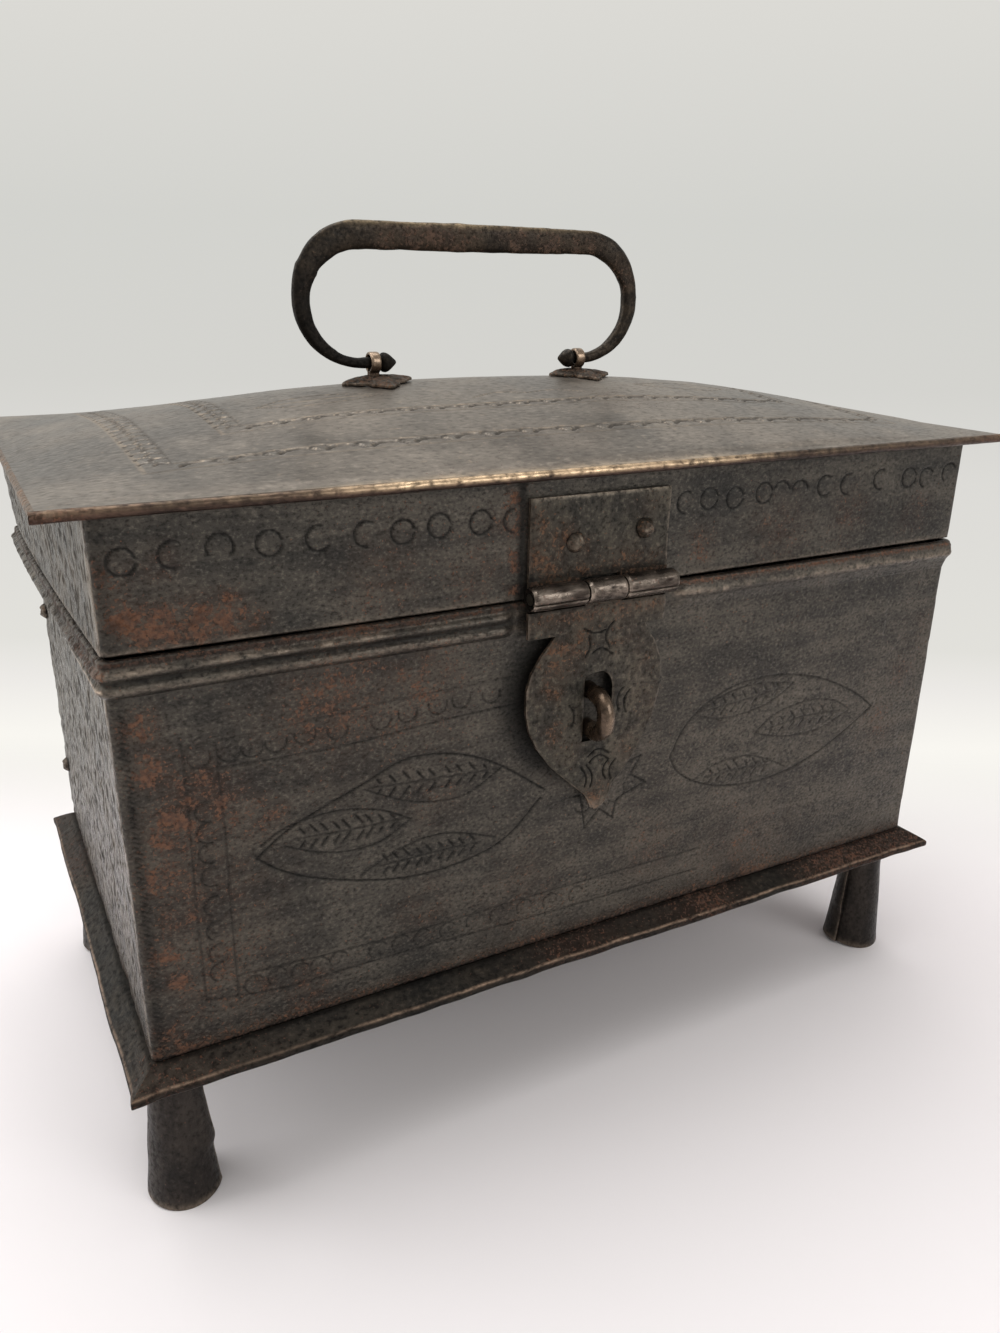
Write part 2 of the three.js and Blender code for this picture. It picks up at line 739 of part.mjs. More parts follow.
// A plate on the back of the lid (direction 1) or of the body (direction -1).
// The body's leaf has the two outer knuckles, and the lid's leaf the middle one.
function rearLeaf(hinge, direction) {
  const half = (3 * rearKnuckle) / 2 + knuckleGap;
  const start = knuckleRadius + knuckleGap;
  const face = halfDepth + gap;
  const z = (rise) => rearAxisZ + direction * rise;
  const outline = [
    [-half, start], [half, start], [half, rearLeafHeight * rearLeafWaistShare],
    [rearLeafTipWidth / 2, rearLeafHeight], [-rearLeafTipWidth / 2, rearLeafHeight],
    [-half, rearLeafHeight * rearLeafWaistShare],
  ].map(([x, rise]) => new THREE.Vector2(hinge.x + x, z(rise)));
  const spans = direction > 0
    ? [[-rearKnuckle / 2, rearKnuckle / 2]]
    : [[-half, -rearKnuckle / 2 - knuckleGap], [rearKnuckle / 2 + knuckleGap, half]];
  const pieces = [prism("y", outline, face, face + strap)];
  for (const [from, to] of spans) {
    pieces.push(knuckle(rearAxisY, rearAxisZ, hinge.x + from, hinge.x + to));
    const levels = [rearAxisZ, z(start + sheet)].sort((a, b) => a - b);
    pieces.push(prism("y", rectangle(hinge.x + from, hinge.x + to, ...levels), face, face + strap));
  }
  const reach = half + overrun;
  const bore = prism("x", disc(rearAxisY, rearAxisZ, knuckleBore), hinge.x - reach, hinge.x + reach);
  const holes = rearRivetPlaces(hinge, direction).map((p) => (
    rivetHole(smallRivet, "y", p.x, p.z, face, face + strap)
  ));
  return cut(join(...pieces), bore, ...holes);
}

// Hasp: the upper plate has the two outer knuckles, and the leaf the middle one

const haspBarrelHalf = haspMiddleKnuckle / 2 + knuckleGap + haspSideKnuckle;

function haspPlate() {
  const back = -halfDepth - gap;
  const start = knuckleRadius + knuckleGap;
  const half = haspPlateWidth / 2;
  const pieces = [prism("y", rectangle(
    haspX - half, haspX + half, haspAxisZ + start, haspAxisZ + knuckleRadius + haspPlateHeight,
  ), back - strap, back)];
  for (const side of [-1, 1]) {
    const near = haspX + side * (haspMiddleKnuckle / 2 + knuckleGap);
    const far = haspX + side * haspBarrelHalf;
    const edge = haspX + side * half;
    pieces.push(knuckle(haspAxisY, haspAxisZ, Math.min(near, far), Math.max(near, far)));
    pieces.push(prism("y", rectangle(
      Math.min(near, edge), Math.max(near, edge), haspAxisZ, haspAxisZ + start + sheet,
    ), back - strap, back));
  }
  const bore = prism("x", disc(haspAxisY, haspAxisZ, knuckleBore),
    haspX - haspBarrelHalf - overrun, haspX + haspBarrelHalf + overrun);
  const holes = haspRivets.map((p) => (
    rivetHole(largeRivet, "y", haspX + p.x, haspAxisZ + p.rise, back - strap, back)
  ));
  return cut(join(...pieces), bore, ...holes);
}

// Half outline of the leaf from its shoulder to its tip, as (half width, depth below the axis).
function leafEdge() {
  const neck = leafNeckWidth / 2;
  const swell = leafWidth / 2 - neck;
  const curve = new THREE.SplineCurve(leafOutlineShares.map((s) => new THREE.Vector2(
    neck + (s.out > 0 ? swell * s.out : neck * s.out * leafTuckShare),
    leafShoulder + (leafLength - leafShoulder) * s.down,
  )));
  return curve.getPoints(leafSteps);
}

function haspLeaf() {
  const half = haspPlateWidth / 2;
  const start = knuckleRadius + knuckleGap;
  const edge = leafEdge();
  const right = [new THREE.Vector2(half, start), new THREE.Vector2(half, leafShoulder), ...edge];
  const outline = right.concat(
    [new THREE.Vector2(0, leafLength)],
    right.slice().reverse().map((p) => new THREE.Vector2(-p.x, p.y)),
  ).map((p) => new THREE.Vector2(haspX + p.x, haspAxisZ - p.y));
  const radius = slotWidth / 2;
  const archZ = haspAxisZ - slotTop - radius;
  const arch = Array.from({ length: loopSteps + 1 }, (_, i) => {
    const turn = (Math.PI * i) / loopSteps;
    return new THREE.Vector2(haspX + radius * Math.cos(turn), archZ + radius * Math.sin(turn));
  });
  arch.push(new THREE.Vector2(haspX - radius, haspAxisZ - slotBottom));
  arch.push(new THREE.Vector2(haspX + radius, haspAxisZ - slotBottom));
  const back = -halfDepth - leafBack;
  const plate = prism("y", outline, back - strap, back);
  const slot = prism("y", arch, back - strap - overrun, back + overrun);
  const middle = haspMiddleKnuckle / 2;
  const neck = prism("y", rectangle(
    haspX - middle, haspX + middle,
    haspAxisZ - start - sheet, haspAxisZ - (knuckleBore + knuckleRadius) / 2,
  ), back - strap, back);
  const roll = knuckle(haspAxisY, haspAxisZ, haspX - middle, haspX + middle);
  const bore = prism("x", disc(haspAxisY, haspAxisZ, knuckleBore), haspX - half, haspX + half);
  return cut(join(plate, neck, roll), bore, slot);
}

// Staple: a round bar bent into a loop, its legs through the wall and clinched over a washer
function staple() {
  const radius = stapleSpan / 2;
  const inside = -halfDepth + sheet + gap + strap + clinchGap + stapleWire / 2;
  const noseY = -halfDepth - stapleReach + stapleWire / 2 + radius;
  const bend = stapleWire / 2;
  const at = (y, z) => new THREE.Vector3(stapleX, y, z);
  const low = stapleZ - radius;
  const high = stapleZ + radius;
  const points = [];
  points.push(at(inside, low - clinchLength), at(inside, low - bend));
  points.push(at(inside - bend, low));
  points.push(at(-halfDepth, low), at(noseY, low));
  for (let i = 1; i < loopSteps; i += 1) {
    const turn = -Math.PI / 2 + (Math.PI * i) / loopSteps;
    points.push(at(noseY - radius * Math.cos(turn), stapleZ + radius * Math.sin(turn)));
  }
  points.push(at(noseY, high), at(-halfDepth, high));
  points.push(at(inside - bend, high));
  points.push(at(inside, high + bend), at(inside, high + clinchLength));
  return skin(points.map((p, i) => {
    const before = points[Math.max(i - 1, 0)];
    const after = points[Math.min(i + 1, points.length - 1)];
    const arriving = p.clone().sub(before).normalize();
    const along = after.clone().sub(before).normalize();
    const stretch = i === 0 || i === points.length - 1 ? 1 : along.dot(arriving);
    const side = new THREE.Vector3(0, -along.z, along.y).multiplyScalar(1 / stretch);
    return disc(0, 0, stapleWire / 2).map((q) => (
      p.clone().add(new THREE.Vector3(q.x, 0, 0)).add(side.clone().multiplyScalar(q.y))
    ));
  }));
}

function stapleWasher() {
  const from = -halfDepth + sheet + gap;
  const plate = prism("y", rectangle(
    stapleX - washerWidth / 2, stapleX + washerWidth / 2,
    stapleZ - washerHeight / 2, stapleZ + washerHeight / 2,
  ), from, from + strap);
  return cut(plate, ...stapleLegHeights.map((z) => (
    prism("y", disc(stapleX, z, stapleWire / 2 + gap), from - overrun, from + strap + overrun)
  )));
}

// Handle

// Stations of the left half of the handle, from the bud's tip to the middle of the grip. The stem
// is the straight run from the middle of the eye to where the bar starts to curve.
function handleHalf(stem) {
  const radius = handleRise / 2;
  const centreX = eyeHalfSpan + stem;
  const stations = [];
  const budStart = -eyeHalfSpan + eyeWidth / 2 + eyeClearance;
  for (const s of budShares) {
    const r = budTip + (budRadius - budTip) * s.radius;
    stations.push({ x: budStart + budLength * s.along, z: 0, tall: r, thick: r });
  }
  for (const share of [0, 0.5, 1]) {
    stations.push({ x: budStart + (-centreX - budStart) * share, z: 0, tall: barRadius, thick: barRadius });
  }
  for (let i = 1; i <= loopSteps; i += 1) {
    const share = i / loopSteps;
    const turn = -Math.PI / 2 - Math.PI * share;
    const toSide = Math.min(share * 2, 1);
    const toTop = Math.max(share * 2 - 1, 0);
    const tall = barRadius + (sideHeight / 2 - barRadius) * toSide
      + ((gripHeight - sideHeight) / 2) * toTop;
    const thick = barRadius + (sideThickness / 2 - barRadius) * toSide
      + ((gripThickness - sideThickness) / 2) * toTop;
    stations.push({
      x: -centreX + radius * Math.cos(turn), z: radius + radius * Math.sin(turn), tall, thick,
    });
  }
  stations.push({ x: -centreX / 3, z: handleRise, tall: gripHeight / 2, thick: gripThickness / 2 });
  return stations;
}

function handle() {
  const right = handleHalf(handleRightStem).reverse().map((s) => ({ ...s, x: -s.x }));
  const stations = handleHalf(handleLeftStem).concat(right);
  return skin(stations.map((s, i) => {
    const before = stations[Math.max(i - 1, 0)];
    const after = stations[Math.min(i + 1, stations.length - 1)];
    const along = new THREE.Vector2(after.x - before.x, after.z - before.z).normalize();
    return Array.from({ length: barSides }, (_, k) => {
      const turn = (Math.PI * (2 * k + 1)) / barSides;
      const across = s.tall * Math.sign(Math.cos(turn)) * Math.abs(Math.cos(turn)) ** barSquareShare;
      const y = s.thick * Math.sign(Math.sin(turn)) * Math.abs(Math.sin(turn)) ** barSquareShare;
      return new THREE.Vector3(handleX + s.x - along.y * across, y, handleAxisZ + s.z + along.x * across);
    });
  }));
}

// A strap folded round the handle's bar, both legs down through the lid and spread under it.
function handleEye(place) {
  const radius = barRadius + eyeClearance + eyeStrap / 2;
  const legY = (eyeStrap + eyeLegGap) / 2;
  const start = Math.asin(legY / radius);
  const under = eyeSeat - sheet - gap - eyeStrap / 2;
  const line = [
    new THREE.Vector2(legY + eyeLegSpread, under - eyeLegSlope),
    new THREE.Vector2(legY, under),
  ];
  for (let i = 0; i <= eyeSteps; i += 1) {
    const turn = -Math.PI / 2 + start + ((2 * Math.PI - 2 * start) * i) / eyeSteps;
    line.push(new THREE.Vector2(radius * Math.cos(turn), handleAxisZ + radius * Math.sin(turn)));
  }
  line.push(new THREE.Vector2(-legY, under), new THREE.Vector2(-legY - eyeLegSpread, under - eyeLegSlope));
  return prism("x", ribbon(line, eyeStrap), place.x - eyeWidth / 2, place.x + eyeWidth / 2);
}

// A domed washer cut to four points, with a softly rippled edge.
function rosette(place) {
  const loopAt = (share, lift) => Array.from({ length: rosetteSides }, (_, i) => {
    const turn = (2 * Math.PI * i) / rosetteSides;
    const lobe = 1 - rosettePointShare + rosettePointShare * Math.cos(4 * turn)
      + rosetteRippleShare * Math.cos(12 * turn);
    const r = rosetteHole + (rosetteRadius * lobe - rosetteHole) * share;
    const x = place.x + r * Math.cos(turn);
    const y = r * Math.sin(turn);
    const dome = rosetteRise * (1 - share);
    return new THREE.Vector3(x, y, plateTop + crownAt(x, y) + gap + dome + lift);
  });
  return skin([
    ...rosetteRingShares.map((s) => loopAt(s, rosetteThickness)),
    ...rosetteRingShares.map((s) => loopAt(s, 0)).reverse(),
  ], true);
}

// Assembly

add("body_wrapper", bodyWrapper(), colours.wall);
add("body_back", bodyBack(), colours.wall);
add("base_plate", basePlate(), colours.wall);
footPlaces.forEach((place) => {
  add(`foot_${place.name}`, foot(place), colours.foot);
  const seat = new THREE.Vector3(place.x, place.y, baseTop);
  add(`foot_rivet_${place.name}`, rivet(largeRivet, sheet + gap + sheet, "z", 1, seat), colours.rivet);
});
floorRivetPlaces.forEach((p, i) => {
  const seat = new THREE.Vector3(p.x, p.y, wallBottom + sheet);
  add(`floor_rivet_${i + 1}`, rivet(smallRivet, sheet + gap + sheet, "z", 1, seat), colours.rivet);
});
for (const [side, sign] of [["left", -1], ["right", 1]]) {
  sideRivetHeights.forEach((z, i) => {
    const seat = new THREE.Vector3(sign * halfWidth, halfDepth - sideRivetInset, z);
    const level = i === 0 ? "low" : "high";
    const shank = sheet + gap + sheet;
    add(`body_rivet_${side}_${level}`, rivet(largeRivet, shank, "x", sign, seat), colours.rivet);
  });
  const y = halfDepth - sideRivetInset;
  const lidSeat = new THREE.Vector3(sign * (halfWidth + bowAt(y)), y, lidBottom + lidRivetHeight);
  add(`lid_rivet_${side}`, rivet(largeRivet, sheet + gap + sheet, "x", sign, lidSeat), colours.rivet);
}
add("lid_wrapper", lidWrapper(), colours.wall);
add("lid_back", lidBack(), colours.wall);
add("lid_top", lidTop(), colours.lid);

for (const hinge of rearHinges) {
  const half = (3 * rearKnuckle) / 2 + knuckleGap;
  add(`hinge_${hinge.name}_body_leaf`, rearLeaf(hinge, -1), colours.strap);
  add(`hinge_${hinge.name}_lid_leaf`, rearLeaf(hinge, 1), colours.strap);
  const pin = hingePin(rearAxisY, rearAxisZ, hinge.x - half, hinge.x + half);
  add(`hinge_${hinge.name}_pin`, pin, colours.rivet);
  for (const [part, direction] of [["body", -1], ["lid", 1]]) {
    rearRivetPlaces(hinge, direction).forEach((p, i) => {
      const seat = new THREE.Vector3(p.x, halfDepth + gap + strap, p.z);
      add(`hinge_${hinge.name}_${part}_rivet_${i + 1}`,
        rivet(smallRivet, strap + gap + sheet, "y", 1, seat), colours.rivet);
    });
  }
}

add("hasp_plate", haspPlate(), colours.strap);
haspRivets.forEach((p, i) => {
  const seat = new THREE.Vector3(haspX + p.x, -halfDepth - gap - strap, haspAxisZ + p.rise);
  add(`hasp_rivet_${i + 1}`, rivet(largeRivet, strap + gap + sheet, "y", -1, seat), colours.rivet);
});
const haspPin = hingePin(haspAxisY, haspAxisZ, haspX - haspBarrelHalf, haspX + haspBarrelHalf);
add("hasp_pin", haspPin, colours.rivet);
add("hasp_leaf", haspLeaf(), colours.strap);
add("staple", staple(), colours.staple, 0.35, 0.85);
add("staple_washer", stapleWasher(), colours.strap);

for (const place of eyePlaces) {
  add(`handle_eye_${place.name}`, handleEye(place), colours.staple);
  add(`rosette_${place.name}`, rosette(place), colours.strap);
}
add("handle", handle(), colours.handle);

export default root;
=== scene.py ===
"""The look of a footed iron strongbox: folded and riveted sheet with punched and chased pattern,
a crowned lid, a hasp on a staple and a hammered carry handle. Lengths here are in millimetres,
with x and y measured from the middle of the box and z from the ground; Piece.place turns them
into the frame's metres."""
import json
import math

import bpy
import numpy as np
from mathutils import Matrix, Vector


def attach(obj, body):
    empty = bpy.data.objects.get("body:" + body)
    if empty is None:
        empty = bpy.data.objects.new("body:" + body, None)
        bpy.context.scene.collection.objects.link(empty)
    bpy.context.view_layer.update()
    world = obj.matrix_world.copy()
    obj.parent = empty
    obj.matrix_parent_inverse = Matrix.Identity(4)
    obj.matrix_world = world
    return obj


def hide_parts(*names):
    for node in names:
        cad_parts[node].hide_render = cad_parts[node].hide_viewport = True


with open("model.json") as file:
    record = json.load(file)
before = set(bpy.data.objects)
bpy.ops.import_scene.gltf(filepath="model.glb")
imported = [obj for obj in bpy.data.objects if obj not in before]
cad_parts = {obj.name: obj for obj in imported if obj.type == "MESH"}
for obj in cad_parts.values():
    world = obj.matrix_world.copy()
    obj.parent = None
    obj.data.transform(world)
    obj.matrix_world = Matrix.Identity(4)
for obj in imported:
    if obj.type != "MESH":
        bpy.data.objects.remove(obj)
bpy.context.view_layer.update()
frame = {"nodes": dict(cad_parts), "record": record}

# The box's main sizes, as its solids have them
SHIFT = 2.9
HALF_X, HALF_Y = 140.0, 77.0
PLATE_X, PLATE_Y = 151.0, 83.1
ROLL = 1.4
SHEET = 1.2
WALL_FOOT, FLARE, RIM = 53.8, 157.4, 167.0
LID_FOOT, LID_EDGE = 169.4, 202.0
PLATE_TOP, CROWN = 203.5, 15.4
FACE = PLATE_TOP - 0.15
BOW = 5.0
FOOT_X, FOOT_Y, FOOT_TOP = 134.2, 66.6, 51.6
HASP_X, HASP_Y, HASP_Z = -6.5, -80.9, 168.5
KNUCKLE, BORE = 3.6, 2.0
REAR_Z = 168.2
STAPLE_X, STAPLE_Z = -8.0, 131.5
BAIL_X, BAIL_Z = -4.5, 224.594
EYE_SPAN = 37.3

# What only the drawn surfaces have: the bead's step, groove and crest, and the recess over it
BEAD_STEP, BEAD_GROOVE, BEAD_CREST, RECESS = 159.6, 161.5, 163.9, 166.6
BEAD = 2.2
LIP = 0.8


# Numbers and fields

def noise2(u, v, size, seed):
    """Smooth noise from -1 to 1: random values on a square lattice of pitch size, blended with
    the weight w(t) = 3t^2 - 2t^3 along both directions."""
    rng = np.random.default_rng(seed)
    values = rng.uniform(-1, 1, (128, 128))
    a, b = np.asarray(u) / size + 500.37, np.asarray(v) / size + 500.71
    i, j = np.floor(a).astype(int), np.floor(b).astype(int)
    s, t = a - i, b - j
    s, t = s * s * (3 - 2 * s), t * t * (3 - 2 * t)
    i, j = i % 127, j % 127
    low = values[i, j] * (1 - s) + values[i + 1, j] * s
    high = values[i, j + 1] * (1 - s) + values[i + 1, j + 1] * s
    return low * (1 - t) + high * t


def smooth(t, low, high):
    """0 below low, 1 above high, and 3s^2 - 2s^3 between them."""
    s = np.clip((np.asarray(t, float) - low) / (high - low), 0, 1)
    return s * s * (3 - 2 * s)


def bump(t, centre, width):
    """A bell: exp(-((t - centre) / width)^2)."""
    return np.exp(-((np.asarray(t) - centre) / width) ** 2)


def bow_at(y):
    """How far the upper side walls stand out at depth y: BOW sin(pi/2 (y + HALF_Y) / (2 HALF_Y))."""
    return BOW * np.sin(np.pi / 2 * np.clip((y + HALF_Y) / (2 * HALF_Y), 0, 1))


def crown_at(x, y):
    """The lid's height over its edge: CROWN (1 - |x / PLATE_X|^2.4) (1 - |y / PLATE_Y|^1.52)."""
    return (CROWN * (1 - np.clip(np.abs(x) / PLATE_X, 0, 1) ** 2.4)
            * (1 - np.clip(np.abs(y) / PLATE_Y, 0, 1) ** 1.52))


class Chasing:
    """A field of tool marks on a flat stretch of metal, kept as a picture of depths in millimetres
    at a fixed pitch. Marks are polylines: a point at distance d from one lies
    -depth (1 - (d / width)^2) deep for d < width, with a burr of a sixth of the depth beside it."""

    def __init__(self, u0, u1, v0, v1, pitch=0.25):
        self.u0, self.v0, self.pitch = u0, v0, pitch
        self.shape = (int((u1 - u0) / pitch) + 2, int((v1 - v0) / pitch) + 2)
        self.depth = np.zeros(self.shape)
        self.burr = np.zeros(self.shape)

    def mark(self, points, width=0.55, depth=0.3):
        points = np.asarray(points, float)
        low, high = points.min(0) - 3 * width, points.max(0) + 3 * width
        i0, j0 = np.maximum(((low - (self.u0, self.v0)) / self.pitch).astype(int), 0)
        i1, j1 = np.minimum(((high - (self.u0, self.v0)) / self.pitch).astype(int) + 2, self.shape)
        if i1 <= i0 or j1 <= j0:
            return
        u = (self.u0 + self.pitch * np.arange(i0, i1))[:, None]
        v = (self.v0 + self.pitch * np.arange(j0, j1))[None, :]
        near = np.full((i1 - i0, j1 - j0), 1e9)
        for (a, b), (c, d) in zip(points[:-1], points[1:]):
            length = max((c - a) ** 2 + (d - b) ** 2, 1e-9)
            t = np.clip(((u - a) * (c - a) + (v - b) * (d - b)) / length, 0, 1)
            near = np.minimum(near, np.hypot(u - a - t * (c - a), v - b - t * (d - b)))
        groove = depth * np.clip(1 - (near / width) ** 2, 0, 1)
        lip = depth / 6 * bump(near, 1.5 * width, 0.5 * width)
        view = (slice(i0, i1), slice(j0, j1))
        self.depth[view] = np.maximum(self.depth[view], groove)
        self.burr[view] = np.maximum(self.burr[view], lip)

    def arc(self, u, v, radius, start, end, width=0.55, depth=0.3, squash=1.0):
        """An arc of a circle from start to end degrees, its height times squash."""
        turn = np.radians(np.linspace(start, end, 14))
        self.mark(np.stack([u + radius * np.cos(turn), v + squash * radius * np.sin(turn)], 1), width, depth)

    def curve(self, points, width=0.55, depth=0.3):
        """A smooth line through the points, by cubics with central-difference slopes."""
        p = np.asarray(points, float)
        slope = np.gradient(p, axis=0)
        t = np.linspace(0, 1, 7)[:, None]
        runs = [(2 * t ** 3 - 3 * t ** 2 + 1) * p[k] + (t ** 3 - 2 * t ** 2 + t) * slope[k]
                + (3 * t ** 2 - 2 * t ** 3) * p[k + 1] + (t ** 3 - t ** 2) * slope[k + 1]
                for k in range(len(p) - 1)]
        self.mark(np.concatenate(runs), width, depth)

    def read(self, u, v):
        """(height, how deep in a mark from 0 to 1) at places (u, v), by linear blending."""
        a = np.clip((u - self.u0) / self.pitch, 0, self.shape[0] - 1.001)
        b = np.clip((v - self.v0) / self.pitch, 0, self.shape[1] - 1.001)
        i, j = a.astype(int), b.astype(int)
        s, t = a - i, b - j
        inside = ((u >= self.u0) & (v >= self.v0) & (u <= self.u0 + self.pitch * (self.shape[0] - 1))
                  & (v <= self.v0 + self.pitch * (self.shape[1] - 1)))

        def blend(f):
            return ((f[i, j] * (1 - s) + f[i + 1, j] * s) * (1 - t)
                    + (f[i, j + 1] * (1 - s) + f[i + 1, j + 1] * s) * t) * inside
        depth = blend(self.depth)
        return blend(self.burr) - depth, np.clip(depth / 0.3, 0, 1)


# Surfaces

class Piece:
    """One object made of grids. Each grid holds points by two parameters; marks holds, for each
    point, how deep it lies in a groove (on some pieces also painted shade), how rubbed it is (on some
    pieces also painted highlight) and how rusty it is, all from 0 to 1."""

    def __init__(self):
        self.points, self.faces, self.marks, self.normals, self.count = [], [], [], [], 0

    def grid(self, points, marks=None, loop_u=False, loop_v=False, turn=False, part=None):
        """Adds a grid of quads. turn swaps the side that faces out. part keeps only the rows from
        part[0] to part[1], with the normals that the whole grid has there."""
        normals = grid_normals(points, loop_u, loop_v)
        if turn:
            normals = -normals
        marks = np.broadcast_to(0.0 if marks is None else marks, points.shape)
        if part is not None:
            rows = slice(part[0], part[1] + 1)
            points, normals, marks = points[rows], normals[rows], marks[rows]
        nu, nv = points.shape[:2]
        index = np.arange(nu * nv).reshape(nu, nv) + self.count
        if loop_u:
            index = np.vstack([index, index[:1]])
        if loop_v:
            index = np.hstack([index, index[:, :1]])
        quads = np.stack([index[:-1, :-1], index[1:, :-1], index[1:, 1:], index[:-1, 1:]], -1).reshape(-1, 4)
        self.faces.append(quads[:, ::-1] if turn else quads)
        self.points.append(points.reshape(-1, 3))
        self.marks.append(marks.reshape(-1, 3))
        self.normals.append(normals.reshape(-1, 3))
        self.count += nu * nv
        return self

    def cap(self, loop, outward):
        """Closes a loop of points with one face that looks along outward."""
        loop = np.asarray(loop, float)
        area = np.cross(loop - loop[0], np.roll(loop, -1, 0) - loop[0]).sum(0)
        order = np.arange(len(loop)) + self.count
        self.faces.append((order if area @ np.asarray(outward, float) > 0 else order[::-1])[None, :])
        self.points.append(loop)
        self.marks.append(np.zeros((len(loop), 3)))
        self.normals.append(np.tile(np.asarray(outward, float), (len(loop), 1)))
        self.count += len(loop)
        return self

    def place(self, name, body, slot, paint, stands_for=()):
        """Makes the object, in metres, with its marks as the attributes groove (also painted shade), rub
        (also painted highlight) and rust.
        """
        points = np.concatenate(self.points) + (0, SHIFT, 0)
        mesh = bpy.data.meshes.new(name)
        mesh.vertices.add(len(points))
        mesh.vertices.foreach_set("co", (points / 1000).astype(np.float32).ravel())
        sizes = np.concatenate([np.full(len(f), f.shape[1]) for f in self.faces])
        corners = np.concatenate([f.ravel() for f in self.faces]).astype(np.int32)
        mesh.loops.add(len(corners))
        mesh.loops.foreach_set("vertex_index", corners)
        mesh.polygons.add(len(sizes))
        mesh.polygons.foreach_set("loop_start", (np.cumsum(sizes) - sizes).astype(np.int32))
        mesh.polygons.foreach_set("use_smooth", np.ones(len(sizes), bool))
        mesh.update(calc_edges=True)
        normals = np.concatenate(self.normals)
        mesh.normals_split_custom_set_from_vertices(normals.astype(np.float32))
        marks = np.concatenate(self.marks)
        for column, label in enumerate(("groove", "rub", "rust")):
            layer = mesh.attributes.new(label, "FLOAT", "POINT")
            layer.data.foreach_set("value", marks[:, column].astype(np.float32))
        mesh.materials.append(paint)
        item = bpy.data.objects.new(name, mesh)
        bpy.context.scene.collection.objects.link(item)
        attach(item, body)
        if stands_for:
            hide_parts(*stands_for)
        return item


def surface(x, y, z):
    """The points (x, y, z) of a grid, from arrays spread to their common shape."""
    return np.stack(np.broadcast_arrays(x, y, z), -1)


def grid_normals(points, loop_u=False, loop_v=False):
    """Unit normals of a grid: the cross product of its two directions' central differences."""
    def slope(axis, loop):
        if loop:
            return np.roll(points, -1, axis) - np.roll(points, 1, axis)
        return np.gradient(points, axis=axis)
    normal = np.cross(slope(0, loop_u), slope(1, loop_v))
    length = np.linalg.norm(normal, axis=2, keepdims=True)
    flat = length[..., 0] < 1e-9
    normal = normal / np.maximum(length, 1e-9)
    if flat.any():
        mean = normal[~flat].mean(0) if (~flat).any() else np.array([0.0, 0, 1])
        normal[flat] = mean / max(np.linalg.norm(mean), 1e-9)
    return normal


def marks_of(groove=0, rub=0, rust=0):
    """The three marks as one array of the widest shape among them."""
    groove, rub, rust = np.broadcast_arrays(groove, rub, rust)
    return np.clip(np.stack([groove, rub, rust], -1).astype(float), 0, 1)


def spots(u, v, places):
    """Ragged patches: for each (u, v, radius, strength) a bell of that radius, broken up by noise."""
    total = np.zeros(np.broadcast(u, v).shape)
    for k, (pu, pv, radius, strength) in enumerate(places):
        reach = np.hypot(u - pu, v - pv) / radius
        total = np.maximum(total, strength * np.exp(-reach ** 2) * (0.75 + 0.5 * noise2(u, v, 2.2, 90 + k)))
    return total


def sweep(centres, tall, thick, side, sides=20, square=1.0, lift=None):
    """A bar: at each centre along a path, the loop centre + tall c n + thick s side, where (c, s)
    go round a circle with their sizes raised to the power square, and n is square to the path and
    to side. lift(path share, turn) is added outwards."""
    centres = np.asarray(centres, float)
    along = np.gradient(centres, axis=0)
    along /= np.linalg.norm(along, axis=1, keepdims=True)
    side = np.asarray(side, float)
    normal = np.cross(side, along)
    normal /= np.linalg.norm(normal, axis=1, keepdims=True)
    turn = 2 * np.pi * np.arange(sides) / sides
    c = np.sign(np.cos(turn)) * np.abs(np.cos(turn)) ** square
    s = np.sign(np.sin(turn)) * np.abs(np.sin(turn)) ** square
    tall = np.broadcast_to(tall, len(centres))[:, None]
    thick = np.broadcast_to(thick, len(centres))[:, None]
    if lift is not None:
        run = np.concatenate([[0], np.cumsum(np.linalg.norm(np.diff(centres, axis=0), axis=1))])
        grow = lift(run[:, None], turn[None, :])
        tall, thick = tall + grow, thick + grow
    return (centres[:, None, :] + (tall * c)[..., None] * normal[:, None, :]
            + (thick * s)[..., None] * side)


# Finishes

def graph(name):
    """An empty material and two short helpers for its nodes, make and join."""
    material = bpy.data.materials.new(name)
    material.use_nodes = True
    tree = material.node_tree
    tree.nodes.clear()

    def make(kind, **settings):
        item = tree.nodes.new("ShaderNode" + kind)
        for key, value in settings.items():
            if hasattr(item, key):
                setattr(item, key, value)
            else:
                item.inputs[key.replace("_", " ")].default_value = value
        return item

    def join(source, target, socket):
        tree.links.new(source, target.inputs[socket])
        return target
    return material, make, join


